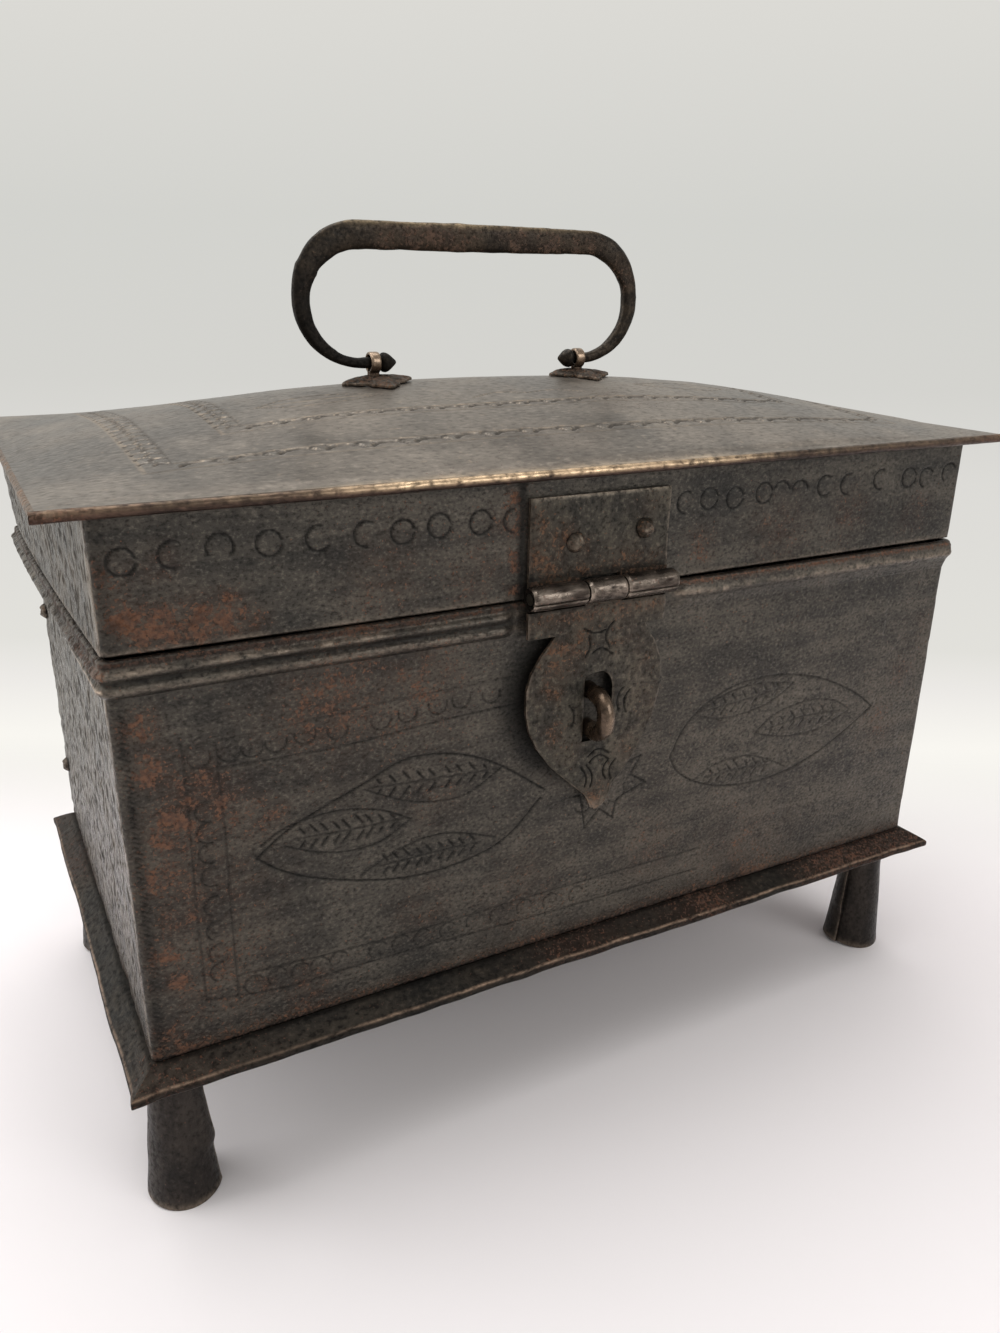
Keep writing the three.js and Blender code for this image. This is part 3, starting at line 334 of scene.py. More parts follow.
def patina(name, dark, warm, rust, gloss=0.42, metal=0.75, streak=(30, 260, 420), speck=0.5,
           rubbed=(0.42, 0.33, 0.25), mottle=55.0, grain=0.5, streaks=0.5, drawn=(900, 900, 900),
           chased=0.5, bite=0.2, contrast=1.0, pits=0.2):
    """Iron patina. Its colour goes from dark to warm with blotches and with noise drawn out along
    the streak scales; a finer noise, drawn out along the scales drawn, makes it grainy. Dots of
    rust stand singly where nothing is marked; where the rust mark is high they close up over a
    thin brown bloom. The rub mark lays bare metal, and on some pieces paints highlights; the groove
    mark darkens it, and on some pieces paints shade. Rust, grooves and
    the dark of the grain are rougher, the last by up to the share pits, and rust isn't metallic. The
    grain, the ragged noise and the rust stand up as bumps of up to bite millimetres."""
    material, make, join = graph(name)
    place = make("TexCoord").outputs["Object"]

    def cloud(scale, detail, source=place, rough=0.6):
        noise = make("TexNoise", Scale=scale, Detail=detail, Roughness=rough)
        return join(source, noise, "Vector").outputs["Fac"]

    def stretched(scales, detail, rough):
        run = join(place, make("Mapping"), "Vector")
        run.inputs["Scale"].default_value = scales
        return cloud(1.0, detail, run.outputs["Vector"], rough)

    def span(source, low, high, to_low=0.0, to_high=1.0):
        ranged = make("MapRange", interpolation_type="SMOOTHSTEP")
        for key, value in (("From Min", low), ("From Max", high), ("To Min", to_low), ("To Max", to_high)):
            ranged.inputs[key].default_value = value
        return join(source, ranged, "Value").outputs["Result"]

    def maths(kind, a, b):
        item = make("Math", operation=kind)
        for socket, value in enumerate((a, b)):
            if isinstance(value, (int, float)):
                item.inputs[socket].default_value = value
            else:
                join(value, item, socket)
        return item.outputs[0]

    def mixed(share, a, b):
        item = join(share, make("Mix", data_type="RGBA"), 0)
        for socket, value in ((6, a), (7, b)):
            if isinstance(value, tuple):
                item.inputs[socket].default_value = (*value, 1)
            else:
                join(value, item, socket)
        return item.outputs[2]

    def mark(label):
        return make("Attribute", attribute_name=label).outputs["Fac"]

    blotch, ragged = cloud(mottle, 6), cloud(290, 6, rough=0.7)
    lines, grains = stretched(streak, 5, 0.62), stretched(drawn, 3, 0.6)
    dots = cloud(1150, 1.5)
    tone = maths("ADD", maths("MULTIPLY", blotch, 1 - streaks), maths("MULTIPLY", lines, streaks))
    colour = mixed(span(tone, 0.37, 0.65), dark, warm)
    colour = mixed(span(grains, 0.28, 0.5, 0.6 * contrast, 0), colour, tuple(0.3 * c for c in dark))
    colour = mixed(span(grains, 0.52, 0.75, 0, 0.3 * contrast), colour, tuple(min(1, 2.6 * c) for c in warm))
    patchy = maths("MULTIPLY", mark("rust"), span(ragged, 0.3, 0.6, 0.45, 1))
    colour = mixed(maths("MULTIPLY", patchy, 0.55), colour, tuple(0.5 * c for c in rust))
    close = maths("MULTIPLY", patchy, 0.42)
    dotted = maths("ADD", maths("ADD", dots, close), maths("MULTIPLY", blotch, 0.3))
    rusty = span(dotted, 0.88 - 0.05 * speck, 0.98 - 0.05 * speck)
    shade = mixed(span(cloud(620, 3), 0.35, 0.65), tuple(0.4 * c for c in rust), rust)
    colour = mixed(maths("MULTIPLY", rusty, 0.85), colour, shade)
    open_metal = span(maths("ADD", ragged, maths("MULTIPLY", grains, 0.6)), 0.5, 0.95)
    bare = maths("MULTIPLY", mark("rub"), open_metal)
    colour = mixed(bare, colour, rubbed)
    colour = mixed(maths("MULTIPLY", mark("groove"), chased), colour, tuple(0.3 * c for c in dark))

    shader = make("BsdfPrincipled")
    join(colour, shader, "Base Color")
    worn = maths("ADD", span(tone, 0.3, 0.7, gloss - 0.06, gloss + 0.1), maths("MULTIPLY", rusty, 0.3))
    worn = maths("ADD", maths("SUBTRACT", worn, maths("MULTIPLY", bare, 0.08)),
                 maths("MULTIPLY", mark("groove"), 0.2))
    worn = maths("ADD", worn, span(grains, 0.36, 0.52, pits, 0))
    join(worn, shader, "Roughness")
    join(maths("SUBTRACT", metal, maths("MULTIPLY", rusty, metal * 0.8)), shader, "Metallic")
    height = maths("ADD", maths("MULTIPLY", grains, 0.6), maths("MULTIPLY", ragged, 0.35))
    height = maths("ADD", height, maths("MULTIPLY", rusty, 0.2))
    relief = join(height, make("Bump", Strength=grain, Distance=bite / 1000), "Height")
    join(relief.outputs["Normal"], shader, "Normal")
    join(shader.outputs["BSDF"], make("OutputMaterial"), "Surface")
    return material


front_iron = patina("front_iron", (0.0255, 0.0242, 0.0212), (0.078, 0.0695, 0.0565), (0.135, 0.056, 0.025),
                    streak=(14, 120, 170), speck=0.95, streaks=0.5, drawn=(900, 900, 1200), grain=1.0,
                    bite=0.36, contrast=1.1, chased=0.85, gloss=0.34)
side_iron = patina("side_iron", (0.022, 0.0187, 0.0150), (0.105, 0.088, 0.067), (0.11, 0.050, 0.028),
                   streak=(360, 360, 110), speck=0.1, gloss=0.26, grain=1.0, drawn=(430, 430, 240), bite=2.4,
                   contrast=0.8, streaks=0.7, pits=0.48)
# The lid plate's iron: its colours are raised well above the body's iron as a painted sheen, the bright
# backdrop's reflection on the lid top.
lid_iron_painted_sheen = patina("lid_iron_painted_sheen", (0.106, 0.092, 0.0775), (0.222, 0.193, 0.162), (0.11, 0.066, 0.044),
                  streak=(50, 22, 160), speck=0.0, gloss=0.36, mottle=26.0, grain=0.5,
                  rubbed=(0.72, 0.55, 0.38), streaks=0.35, drawn=(420, 800, 800), chased=0.62, contrast=0.8,
                  pits=0.08)
roll_iron = patina("roll_iron", (0.020, 0.012, 0.009), (0.075, 0.045, 0.032), (0.12, 0.045, 0.02),
                   streak=(60, 300, 300), speck=0.3, gloss=0.34, grain=0.7, rubbed=(0.82, 0.60, 0.38),
                   drawn=(500, 900, 900))
strap_iron = patina("strap_iron", (0.0218, 0.0205, 0.0170), (0.070, 0.0615, 0.0470), (0.130, 0.060, 0.026),
                    streak=(150, 150, 90), speck=0.7, gloss=0.4, mottle=90.0, grain=1.0,
                    drawn=(800, 800, 800), bite=0.3, contrast=1.3, chased=0.9)
barrel_iron = patina("barrel_iron", (0.018, 0.016, 0.014), (0.075, 0.063, 0.052), (0.14, 0.050, 0.022),
                     streak=(60, 200, 200), speck=0.4, gloss=0.28, metal=0.9, mottle=140.0, grain=0.9,
                     drawn=(300, 900, 900), bite=0.3, contrast=1.3, rubbed=(0.40, 0.33, 0.27))
bail_iron = patina("bail_iron", (0.0100, 0.0080, 0.0060), (0.042, 0.031, 0.0205), (0.105, 0.058, 0.034),
                   streak=(60, 300, 300), speck=0.7, gloss=0.4, mottle=110.0, rubbed=(0.40, 0.30, 0.18),
                   contrast=1.2, grain=0.8, chased=0.85)
bronze_wear = patina("bronze_wear", (0.030, 0.020, 0.014), (0.112, 0.073, 0.046), (0.13, 0.05, 0.022),
                     streak=(200, 200, 200), speck=0.3, gloss=0.2, metal=0.7, mottle=160.0, grain=0.4,
                     rubbed=(0.42, 0.31, 0.22), drawn=(600, 600, 600), pits=0.1)
foot_iron = patina("foot_iron", (0.0130, 0.0106, 0.0092), (0.040, 0.0325, 0.0270), (0.12, 0.045, 0.02),
                   streak=(160, 160, 60), speck=0.4, gloss=0.40, drawn=(800, 800, 600), grain=0.9,
                   contrast=0.8, bite=0.3)
base_iron = patina("base_iron", (0.0088, 0.0075, 0.0058), (0.029, 0.0232, 0.0170), (0.110, 0.044, 0.021),
                   streak=(40, 60, 300), speck=0.9, gloss=0.42, rubbed=(0.34, 0.23, 0.16), grain=1.0,
                   drawn=(500, 500, 900), bite=0.35, contrast=1.4)


# Pattern

def chase_front():
    """The front wall's pattern: a strip of scallops between lines down the left and along the top
    and bottom, two pointed medallions with three veined leaves each, and a star under the hasp."""
    field = Chasing(-139, 139, 56, 157)
    for k, z in enumerate(np.arange(58.5, 156.5, 1.4)):
        lean = 0.5 * math.sin(2.3 * k)
        field.mark([(-139.3, z), (-137.6, z - 0.3), (-136.3 + lean, z - 1.3)], 0.3, 0.17)
    field.curve([(-124.4, 143.6), (-124.3, 125.4), (-124.7, 99.6), (-124.7, 68.5)], 0.4, 0.2)
    field.curve([(-116.3, 142.0), (-115.9, 117.6), (-116.1, 88.8), (-116.0, 66.0)], 0.4, 0.2)
    field.curve([(-124.9, 142.6), (-98.0, 143.2), (-67.0, 144.9), (-34.0, 145.5)], 0.4, 0.16)
    field.curve([(-115.9, 135.2), (-98.5, 134.7), (-82.4, 134.6), (-57.4, 136.2), (-34.0, 137.0)], 0.45, 0.22)
    field.curve([(-115.0, 73.4), (-98.4, 72.1), (-65.4, 71.0), (-14.2, 71.3), (40.0, 71.0)], 0.4, 0.22)
    field.curve([(-124.7, 68.5), (-102.7, 64.9), (-74.9, 65.1), (-23.6, 63.6), (40.0, 63.0)], 0.4, 0.22)
    for z in (124.0, 117.9, 112.1, 105.2, 96.5, 88.9, 81.9, 76.0):
        field.arc(-119.9, z, 2.9, 75, 285 if z > 100 else 240, 0.36, 0.28)
    upper_row = ((-120.5, 138.9), (-113.2, 139.2), (-107.4, 139.2), (-101.2, 139.3), (-93.7, 140.0),
                 (-85.0, 139.6), (-72.9, 139.9), (-65.2, 140.6), (-56.3, 141.2), (-49.3, 141.8),
                 (-40.0, 141.6))
    lower_row = ((-111.6, 69.0), (-105.1, 69.2), (-98.6, 68.6), (-93.2, 68.8), (-87.4, 68.8),
                 (-75.8, 68.4), (-68.6, 68.2), (-61.7, 68.0), (-53.5, 67.8), (-44.7, 68.4),
                 (-36.7, 68.2), (-27.4, 67.9), (-18.0, 67.5), (-8.5, 67.2))
    for x, z in upper_row:
        field.arc(x, z, 2.8, 165, 375, 0.36, 0.26)
    for x, z in lower_row:
        field.arc(x, z, 2.7, 30, 215, 0.36, 0.26)
    left = ([(-108.4, 107.3), (-99.8, 113.5), (-90.5, 117.6), (-79.1, 121.8), (-67.4, 126.6), (-57.4, 126.6),
             (-47.2, 124.0), (-36.4, 118.5), (-21.8, 107.6)],
            [(-108.4, 107.3), (-102.3, 102.1), (-93.3, 97.2), (-79.1, 92.4), (-68.1, 90.0), (-57.7, 89.3),
             (-44.8, 90.7), (-33.7, 94.9), (-22.8, 105.0)])
    right = ([(24.6, 108.1), (29.6, 117.5), (38.2, 124.5), (51.4, 128.7), (68.4, 128.8), (87.0, 124.3),
              (104.1, 116.1), (113.5, 109.3)],
             [(24.6, 108.1), (28.5, 101.9), (38.6, 95.6), (53.2, 91.7), (70.9, 91.2), (88.7, 95.6),
              (103.3, 102.9), (113.5, 109.3)])
    for edge in left:
        field.curve(edge, 0.4, 0.38)
    for edge in right:
        field.curve(edge, 0.42, 0.27)
    leaves = (
        ((-107.1, 110.7), (-99.7, 114.5), (-86.9, 115.9), (-74.6, 113.4), (-64.7, 108.2)),
        ((-100.8, 109.0), (-92.9, 105.2), (-83.6, 102.9), (-73.9, 103.4), (-64.7, 108.2)),
        ((-78.2, 120.4), (-67.6, 114.8), (-57.6, 111.9), (-47.1, 112.0), (-36.4, 117.8)),
        ((-80.0, 94.3), (-72.0, 97.9), (-61.8, 100.9), (-51.3, 100.3), (-37.7, 95.4)),
        ((33.3, 120.8), (43.5, 125.6), (57.1, 127.3), (74.8, 125.0)),
        ((33.3, 120.8), (44.8, 117.7), (56.8, 118.0), (66.8, 120.4), (74.8, 125.0)),
        ((59.6, 109.1), (67.5, 114.6), (82.1, 117.0), (94.8, 114.7), (102.8, 110.0)),
        ((59.6, 109.1), (74.9, 105.2), (90.1, 105.5), (102.8, 110.0)),
        ((34.3, 97.6), (44.9, 101.7), (56.2, 101.9), (66.0, 98.6), (75.1, 93.8)))
    for edge in leaves:
        field.curve(edge, 0.36, 0.32 if edge[0][0] < 0 else 0.23)
    ribs = (((-98.2, 110.4), (-82.4, 109.3), (-67.0, 108.9)),
            ((-77.2, 120.6), (-57.5, 119.0), (-37.5, 117.8)),
            ((-75.1, 95.7), (-57.7, 95.6), (-42.6, 95.2)),
            ((38.0, 121.6), (54.0, 122.6), (70.0, 124.0)),
            ((64.0, 109.6), (80.0, 111.4), (98.0, 110.6)),
            ((39.5, 97.6), (54.0, 97.6), (68.0, 96.0)))
    rng = np.random.default_rng(61)
    for k, rib in enumerate(ribs):
        field.curve(rib, 0.38, 0.24 if k < 3 else 0.18)
        cut = 0.36 if k < 3 else 0.25
        (x0, z0), (x1, z1), (x2, z2) = rib
        for t in np.linspace(0.1, 0.92, 9 if k < 3 else 7):
            x = x0 + (x2 - x0) * t + rng.uniform(-0.4, 0.4)
            z = np.interp(x, (x0, x1, x2), (z0, z1, z2))
            long = (1.3 + 1.2 * math.sin(math.pi * t)) * rng.uniform(0.7, 1.15)
            start = rng.uniform(0.7, 1.3)
            field.mark([(x, z + start), (x - 0.75 * long, z + start + long)], 0.46, cut)
            start = rng.uniform(0.7, 1.3)
            field.mark([(x, z - start), (x - 0.75 * long, z - start - 0.9 * long)], 0.46, cut)
    star = [(-15.5, 102.2), (-8.6, 102.6), (-6.6, 90.7), (-1.4, 96.0), (3.6, 91.8), (5.0, 98.0),
            (15.6, 101.6), (9.6, 105.4), (13.3, 111.4), (6.6, 109.6)]
    field.mark(star[:3], 0.42, 0.3)
    field.mark(star[2:], 0.42, 0.3)
    star_arcs = ((-7.6, 99.2, 3.0, 200, 330), (4.2, 100.6, 3.4, 230, 380), (-1.4, 95.4, 2.6, 20, 160))
    for x, z, radius, start, end in star_arcs:
        field.arc(x, z, radius, start, end, 0.4, 0.25)
    return field


def chase_lid_front():
    """The lid front's row of punched rings near its top edge, some of them struck only in part."""
    field = Chasing(-139, 139, 171, 200)
    for x in (-133.3, -99.7, -65.6, -55.5, -43.6, 31.9, 41.6, 53.0, 115.2):
        field.arc(x, 190.0 + 0.5 * math.sin(x), 3.2, 12, 350, 0.42, 0.42)
    partly_struck = ((-122.1, 60, 215), (-111.3, -40, 250), (-87.5, 80, 240), (-75.4, 60, 215),
                     (-33.5, 95, 170), (23.5, 70, 190), (60.0, 15, 150), (67.4, 10, 160),
                     (78.0, 50, 260), (87.9, 80, 190), (102.3, 70, 210), (123.6, 40, 215),
                     (134.3, 30, 200))
    for x, start, run in partly_struck:
        field.arc(x, 190.2 + 0.5 * math.sin(x), 3.2, start, start + run, 0.44, 0.42)
    return field


def chase_lid_top():
    """The lid's pattern: two borders, each a strip between lines, with rows of wide crescents along
    the front and back and double rows of small ones down the sides, and leaves inside."""
    field = Chasing(-148, 148, -80, 80, 0.28)
    borders = ((123.5, 116.0, 61.0, 55.5, 12.2, 4.7), (99.0, 92.5, 37.0, 32.0, 9.4, 3.7))
    for x_out, x_in, y_out, y_in, pitch, half in borders:
        for sign in (-1, 1):
            middle = sign * (y_out + y_in) / 2
            field.curve([(sign * x_out, t) for t in (-y_out, 0, y_out)], 0.42, 0.2)
            field.curve([(sign * x_in, t) for t in (-y_in, 0, y_in)], 0.42, 0.2)
            field.curve([(t, sign * y_out) for t in (-x_out, -40, 40, x_out)], 0.42, 0.16)
            field.curve([(t, sign * y_in) for t in (-x_in, -40, 40, x_in)], 0.42, 0.14)
            for x in np.arange(-x_in + pitch / 2, x_in, pitch):
                lean = 0.4 * math.sin(3 * x)
                field.arc(x, middle - 0.9 + lean, half, 12, 168, 0.8, 0.6, 0.5)
                field.arc(x + pitch / 2, middle + 0.9 + lean, 0.55 * half, 15, 165, 0.6, 0.4, 0.6)
            for row, offset in ((0.3, 0.0), (0.72, 2.4)):
                for y in np.arange(-y_in + offset, y_in, 5.0):
                    x = sign * (x_in + (x_out - x_in) * row)
                    field.arc(x, y, 2.0, 15, 165, 0.55, 0.45, 0.8)
    for sign in (-1, 1):
        for y in (-16.0, 16.0):
            for bulge in (5.0, -5.0):
                field.curve([(sign * 84, y), (sign * 76, y + bulge * 0.8), (sign * 64, y + bulge),
                             (sign * 54, y + bulge * 0.6), (sign * 46, y)], 0.45, 0.22)
            field.curve([(sign * 82, y), (sign * 64, y), (sign * 50, y)], 0.35, 0.16)
        field.curve([(sign * 20, -26), (sign * 10, -22), (0, -24)], 0.4, 0.2)
    return field


def chase_hasp():
    """The hasp leaf's punched arcs: a diamond of four under the knuckle, single and double ones
    beside the slot, and a fan of double ones over the tip. Places are (x, z)."""
    field = Chasing(-34, 21, 96, 160, 0.2)
    for line in ([(-12.4, 157.6), (-10.2, 156.3), (-7.5, 155.8), (-5.2, 156.4)],
                 [(-2.7, 158.4), (-4.7, 156.1), (-5.0, 153.6), (-3.4, 150.8)],
                 [(-9.4, 149.8), (-7.7, 150.8), (-5.6, 150.8), (-2.4, 148.6)],
                 [(-10.9, 155.2), (-10.2, 152.9), (-10.5, 150.9), (-11.9, 148.9)],
                 [(2.2, 137.4), (0.8, 135.9), (0.2, 133.3), (0.9, 130.2)],
                 [(4.5, 136.3), (2.9, 134.1), (2.9, 131.5), (3.6, 129.1)],
                 [(-16.4, 135.0), (-14.8, 132.5), (-14.6, 129.8), (-15.4, 128.0)],
                 [(-9.5, 117.0), (-7.1, 118.7), (-4.6, 118.8), (-2.0, 117.1)],
                 [(-8.6, 115.2), (-7.0, 116.5), (-4.5, 116.7), (-1.6, 114.9)],
                 [(-11.6, 114.2), (-9.8, 111.5), (-9.4, 109.2), (-9.9, 107.4)],
                 [(-9.6, 114.5), (-7.7, 111.6), (-7.3, 109.1), (-7.9, 106.9)],
                 [(-1.8, 114.7), (-3.3, 112.9), (-3.4, 110.6), (-2.5, 108.5)],
                 [(0.7, 114.4), (-0.9, 112.4), (-1.1, 110.1), (-0.6, 108.1)]):
        field.curve(line, 0.34, 0.42)
    return field


# Walls

def fold_path(side_pitch, front_pitch):
    """Stations of the outer face from the back of the left wall round the front to the back of the
    right wall: x, y, outward x, outward y and how far the bow acts there. The corners are quarter
    circles of radius 2 mm."""
    radius = 2.0
    y = np.arange(HALF_Y, -HALF_Y + radius, -side_pitch)
    left = np.stack([np.full_like(y, -HALF_X), y, np.full_like(y, -1.0), np.zeros_like(y), bow_at(y)], 1)
    turn = np.pi + np.pi / 2 * np.linspace(0, 1, 10)
    cx, cy = np.cos(turn), np.sin(turn)
    ay = -HALF_Y + radius * (1 + cy)
    corner = np.stack([-HALF_X + radius * (1 + cx), ay, cx, cy, bow_at(ay) * -cx], 1)
    x = np.arange(-HALF_X + radius + front_pitch, 0, front_pitch)
    front = np.stack([x, np.full_like(x, -HALF_Y), 0 * x, 0 * x - 1, 0 * x], 1)
    half = np.concatenate([left, corner, front])
    mirror = half[::-1] * (-1, 1, -1, 1, 1)
    return np.concatenate([half, mirror])


def along_sheet(x, y, front):
    """How far a station lies along the folded sheet from the middle of its front."""
    return np.where(front > 0.99, x, np.sign(x) * (HALF_X + HALF_Y + y))


def wall_waves(s, z, seed, strength=1.0):
    """Dents and hammering: noise of 46, 15 and 5 mm, 0.26, 0.07 and 0.03 mm high."""
    return strength * (0.26 * noise2(s, z, 46, seed) + 0.07 * noise2(s, z, 15, seed + 1)
                       + 0.03 * noise2(s, z, 5, seed + 2))


def drawn_grain(s, y, z, seed):
    """The side sheets' rough grain: noise 3.6 mm long and 2.6 mm tall, 0.2 mm high, and noise half
    that size, 0.08 mm high, over noise 8 mm wide and 20 mm tall, 0.12 mm high; it dies out towards
    the front corner."""
    grain = (0.2 * noise2(s, 1.4 * z, 3.6, seed) + 0.08 * noise2(s, 1.4 * z, 1.8, seed + 2)
             + 0.12 * noise2(s, 0.4 * z, 8, seed + 1))
    return grain * smooth(y, 4 - HALF_Y, 16 - HALF_Y)


def bead_outline(s, right_half):
    """How proud the bead is, as a share, at share s of its height: on the left half a step, a groove
    and a crest with a recess over it, on the right half one round fold."""
    sharp = np.interp(s, [0, .05, .1, .16, .22, .28, .35, .41, .47, .54, .62, .69, .76, .84, 1],
                      [0, .26, .54, .76, .86, .84, .72, .5, .38, .54, .86, 1, .86, .42, .36])
    round_over = np.interp(s, [0, .12, .25, .36, .45, .52, .58, .64, .72, .8, .92, 1],
                           [0, .1, .28, .42, .66, .9, 1, 1, .9, .82, .76, .55])
    return (1 - right_half) * sharp + right_half * round_over


def body_rub_and_highlights(x, y, z, run, front, side, right_half):
    """Where the body is lightened, by rubbed metal and by painted highlights: the bead's crest in broken
    lengths and its step (rubbed, with a painted highlight), the side walls' front edge (rubbed), a painted
    highlight line at the height of the bead's step on the side walls, and, faintly, a painted reflection
    of the floor on the front towards its lower right."""
    # The crest and the step: rubbed metal with a painted highlight over it.
    crest = (0.55 * bump(z, BEAD_CREST - 1.1 * right_half, 0.7 + 0.5 * right_half)
             * smooth(noise2(run, z, 5, 5), -0.8, 0.7) * (0.7 + 0.3 * noise2(run, z, 1.4, 4)))
    step = 0.16 * bump(z, BEAD_STEP, 1.1) * (1 - right_half)
    # A faint painted reflection of the floor towards the front's lower right.
    painted_floor_sheen = 0.05 * smooth(x, -110, 30) * (1 - 0.6 * smooth(z, 110, 150))
    edge = bump(y, -HALF_Y + 2.2, 1.5) * (side > 0.9) * (0.65 + 0.35 * noise2(run, z, 9, 6))
    # A painted highlight line along the side walls at the bead's step.
    beside = bump(z, BEAD_STEP + 0.3, 0.3) * (side > 0.7)
    return (crest + step + painted_floor_sheen) * (front > 0.5) + beside + 0.35 * edge


def body_rust(x, y, z, front, side):
    """Rust on the body: patches on the front, most of them near its left edge, and lines of it along
    the foot, in the recess and round the side walls' bead."""
    patches = ((-134, 150, 5, .9), (-131, 138, 6, 1), (-122, 131, 8, .9), (-127, 121, 9, 1),
               (-115, 125, 7, .9), (-125, 106, 24, .42), (-122, 78, 20, .4), (-80, 150, 30, .3),
               (-132, 108, 7, .8), (-128, 96, 7, .7), (-134, 85, 5, .9), (-131, 76, 4, .9),
               (-104, 120, 6, .6), (-88, 147, 13, .7), (-62, 149, 12, .55), (-97, 63, 8, .6),
               (-110, 68, 5, .7), (-62, 78, 9, .35), (-58, 112, 8, .35), (-134, 60, 8, .6),
               (20, 75, 12, .3), (118, 101, 7, .45), (126, 120, 6, .35), (-30, 72, 14, .3),
               (60, 60, 20, .35), (134, 135, 9, .3))
    rust = (spots(x, z, patches) * (front > 0.5) + 0.55 * bump(z, WALL_FOOT, 3.0)
            + 0.95 * bump(z, RECESS, 1.3))
    return np.maximum(rust, 0.75 * bump(z, BEAD_CREST + 0.1, 2.0) * (side > 0.5) * smooth(-y, -10, 77))


def body_shade_and_dark_lines(x, z, front, right_half):
    """What is darkened on the body: a broken dark line beside the front's left edge, painted shade in the
    recess over the bead, under the lid's hem, and painted shade on the stretch behind the hasp's leaf,
    deepest along the leaf's left edge."""
    beside = (0.65 * bump(x, -HALF_X + 2.6, 2.0) * (front > 0.35) * (z < FLARE)
              * (0.6 + 0.4 * noise2(x, z, 3.2, 8)))
    # The recess over the bead, under the lid's hem: painted shade.
    recess_foot = RECESS - 1.7 + 1.5 * right_half
    recess = (0.62 + 0.3 * right_half) * smooth(z, recess_foot, recess_foot + 0.6)
    # Painted shade behind the hasp's leaf, deepest along its left edge.
    rim_left, rim_right = leaf_edges(np.clip(z, 99.5, 156))
    behind = (smooth(x, rim_left - 12, rim_left - 3) * (1 - smooth(x, rim_right - 8, rim_right - 2))
              * smooth(z, 103, 118) * (0.45 + 0.55 * bump(x, rim_left - 1, 8)) * (front > 0.9))
    return np.maximum(np.maximum(beside, recess), behind)


def body_walls():
    """The body's folded sheet: its stations, points and marks. At a station with outward direction o,
    a point of the profile lies at base + o (a + f bow + g bead + waves + pattern): a is how far the
    rim and the inner face step in, f the bow's share, which rises from 0 at the flare, and g the
    bead's outline, BEAD proud at most, which dies out behind the hasp. The profile goes up the outer
    face, over the rim in a half turn and down inside."""
    path = fold_path(0.9, 0.42)
    x, y, ox, oy, bow = (path[:, k][:, None] for k in range(5))
    front, side = np.abs(oy), np.abs(ox)
    right_half = smooth(x, -25, 45)
    bead = np.where(front > 0.99, smooth(np.abs(x - HASP_X), 26.4, 31.0), 1.0)

    z_wall = np.arange(WALL_FOOT, FLARE - 0.1, 0.45)
    s = np.linspace(0, 1, 36)
    z_bead = FLARE + s * (RIM - LIP - FLARE)
    turn = np.radians(np.linspace(20, 180, 9))
    z_inner = np.concatenate([[RIM - 1.6, 164.6, 161.6, FLARE], np.linspace(150, WALL_FOOT, 10)])
    f_inner = np.concatenate([[1, 1, 0.7, 0.1], np.zeros(10)])
    z = np.concatenate([z_wall, z_bead, RIM - LIP + LIP * np.sin(turn), z_inner])[None, :]
    f = np.concatenate([0 * z_wall, smooth(s, 0, 0.46), 0 * turn + 1, f_inner])[None, :]
    g_bead = bead_outline(s, right_half)
    g_rim = g_bead[:, -1:] * (0.5 + 0.5 * np.cos(turn))
    g = np.concatenate([np.zeros((len(path), len(z_wall))), g_bead, g_rim,
                        np.tile(0.2 * f_inner, (len(path), 1))], 1)
    a = np.concatenate([0 * z_wall, 0 * s, -0.75 * (1 - np.cos(turn)), 0 * z_inner - SHEET - 0.4])[None, :]
    outer = np.concatenate([0 * z_wall + 1, 0 * s + 1, 0 * turn + 0.4, 0 * z_inner])[None, :]

    run = along_sheet(x, y, front)
    waves = wall_waves(run, z, 11) * outer * smooth(z, WALL_FOOT, WALL_FOOT + 8)
    waves -= 0.12 * bump(noise2(run, z, 9, 31), 0.9, 0.25) * outer * (z < FLARE)
    waves += drawn_grain(run, y, z, 33) * outer * (side > 0.9)
    height, groove = chase_front().read(*np.broadcast_arrays(x, z))
    on_front = (front > 0.99) * outer * (z < FLARE)
    out = a + f * bow + BEAD * g * bead + (waves + height * on_front) * np.where(f > 0, 0.5, 1.0)
    points = surface(x + ox * out, y + oy * out, z)
    # Darkened: the bead's groove and the wall's foot, plus a dark line by the front's left edge and painted
    # shade in the recess and behind the hasp's leaf.
    dark = (0.8 * bump(z, BEAD_GROOVE, 0.7) * bead * (1 - right_half) + 0.8 * bump(z, WALL_FOOT, 1.2)
            + body_shade_and_dark_lines(x, z, front, right_half))
    marks = marks_of(groove * on_front + dark * outer,
                     body_rub_and_highlights(x, y, z, run, front, side, right_half) * outer,
                     body_rust(x, y, z, front, side) * outer)
    return path, points, marks


def place_walls(path, points, marks, body, names, stands_for):
    """Splits a folded sheet at whole stations: the side walls, and the front between them in equal
    parts. The sheet's two back ends are capped."""
    end = len(path) - 1
    first = int(np.argmax(path[:, 0] > -HALF_X + 0.25))
    last = end - first
    parts = len(names) - 2
    cuts = [0] + [first + k * (last - first) // parts for k in range(parts)] + [last, end]
    for name, low, high in zip(names, cuts[:-1], cuts[1:]):
        piece = Piece()
        piece.grid(points, marks, loop_v=True, part=(low, high), turn=True)
        for station in (0, end):
            if station in (low, high):
                piece.cap(points[station], (0, 1, 0))
        paint = side_iron if "wall" in name else front_iron
        piece.place(name, body, "wall_sheet", paint, (stands_for,) if low == 0 else ())


def make_body_walls():
    """The body's folded sheet in five pieces."""
    path, points, marks = body_walls()
    names = ("body_wall_left", "body_front_left", "body_front_middle", "body_front_right",
             "body_wall_right")
    place_walls(path, points, marks, "box", names, "body_wrapper")


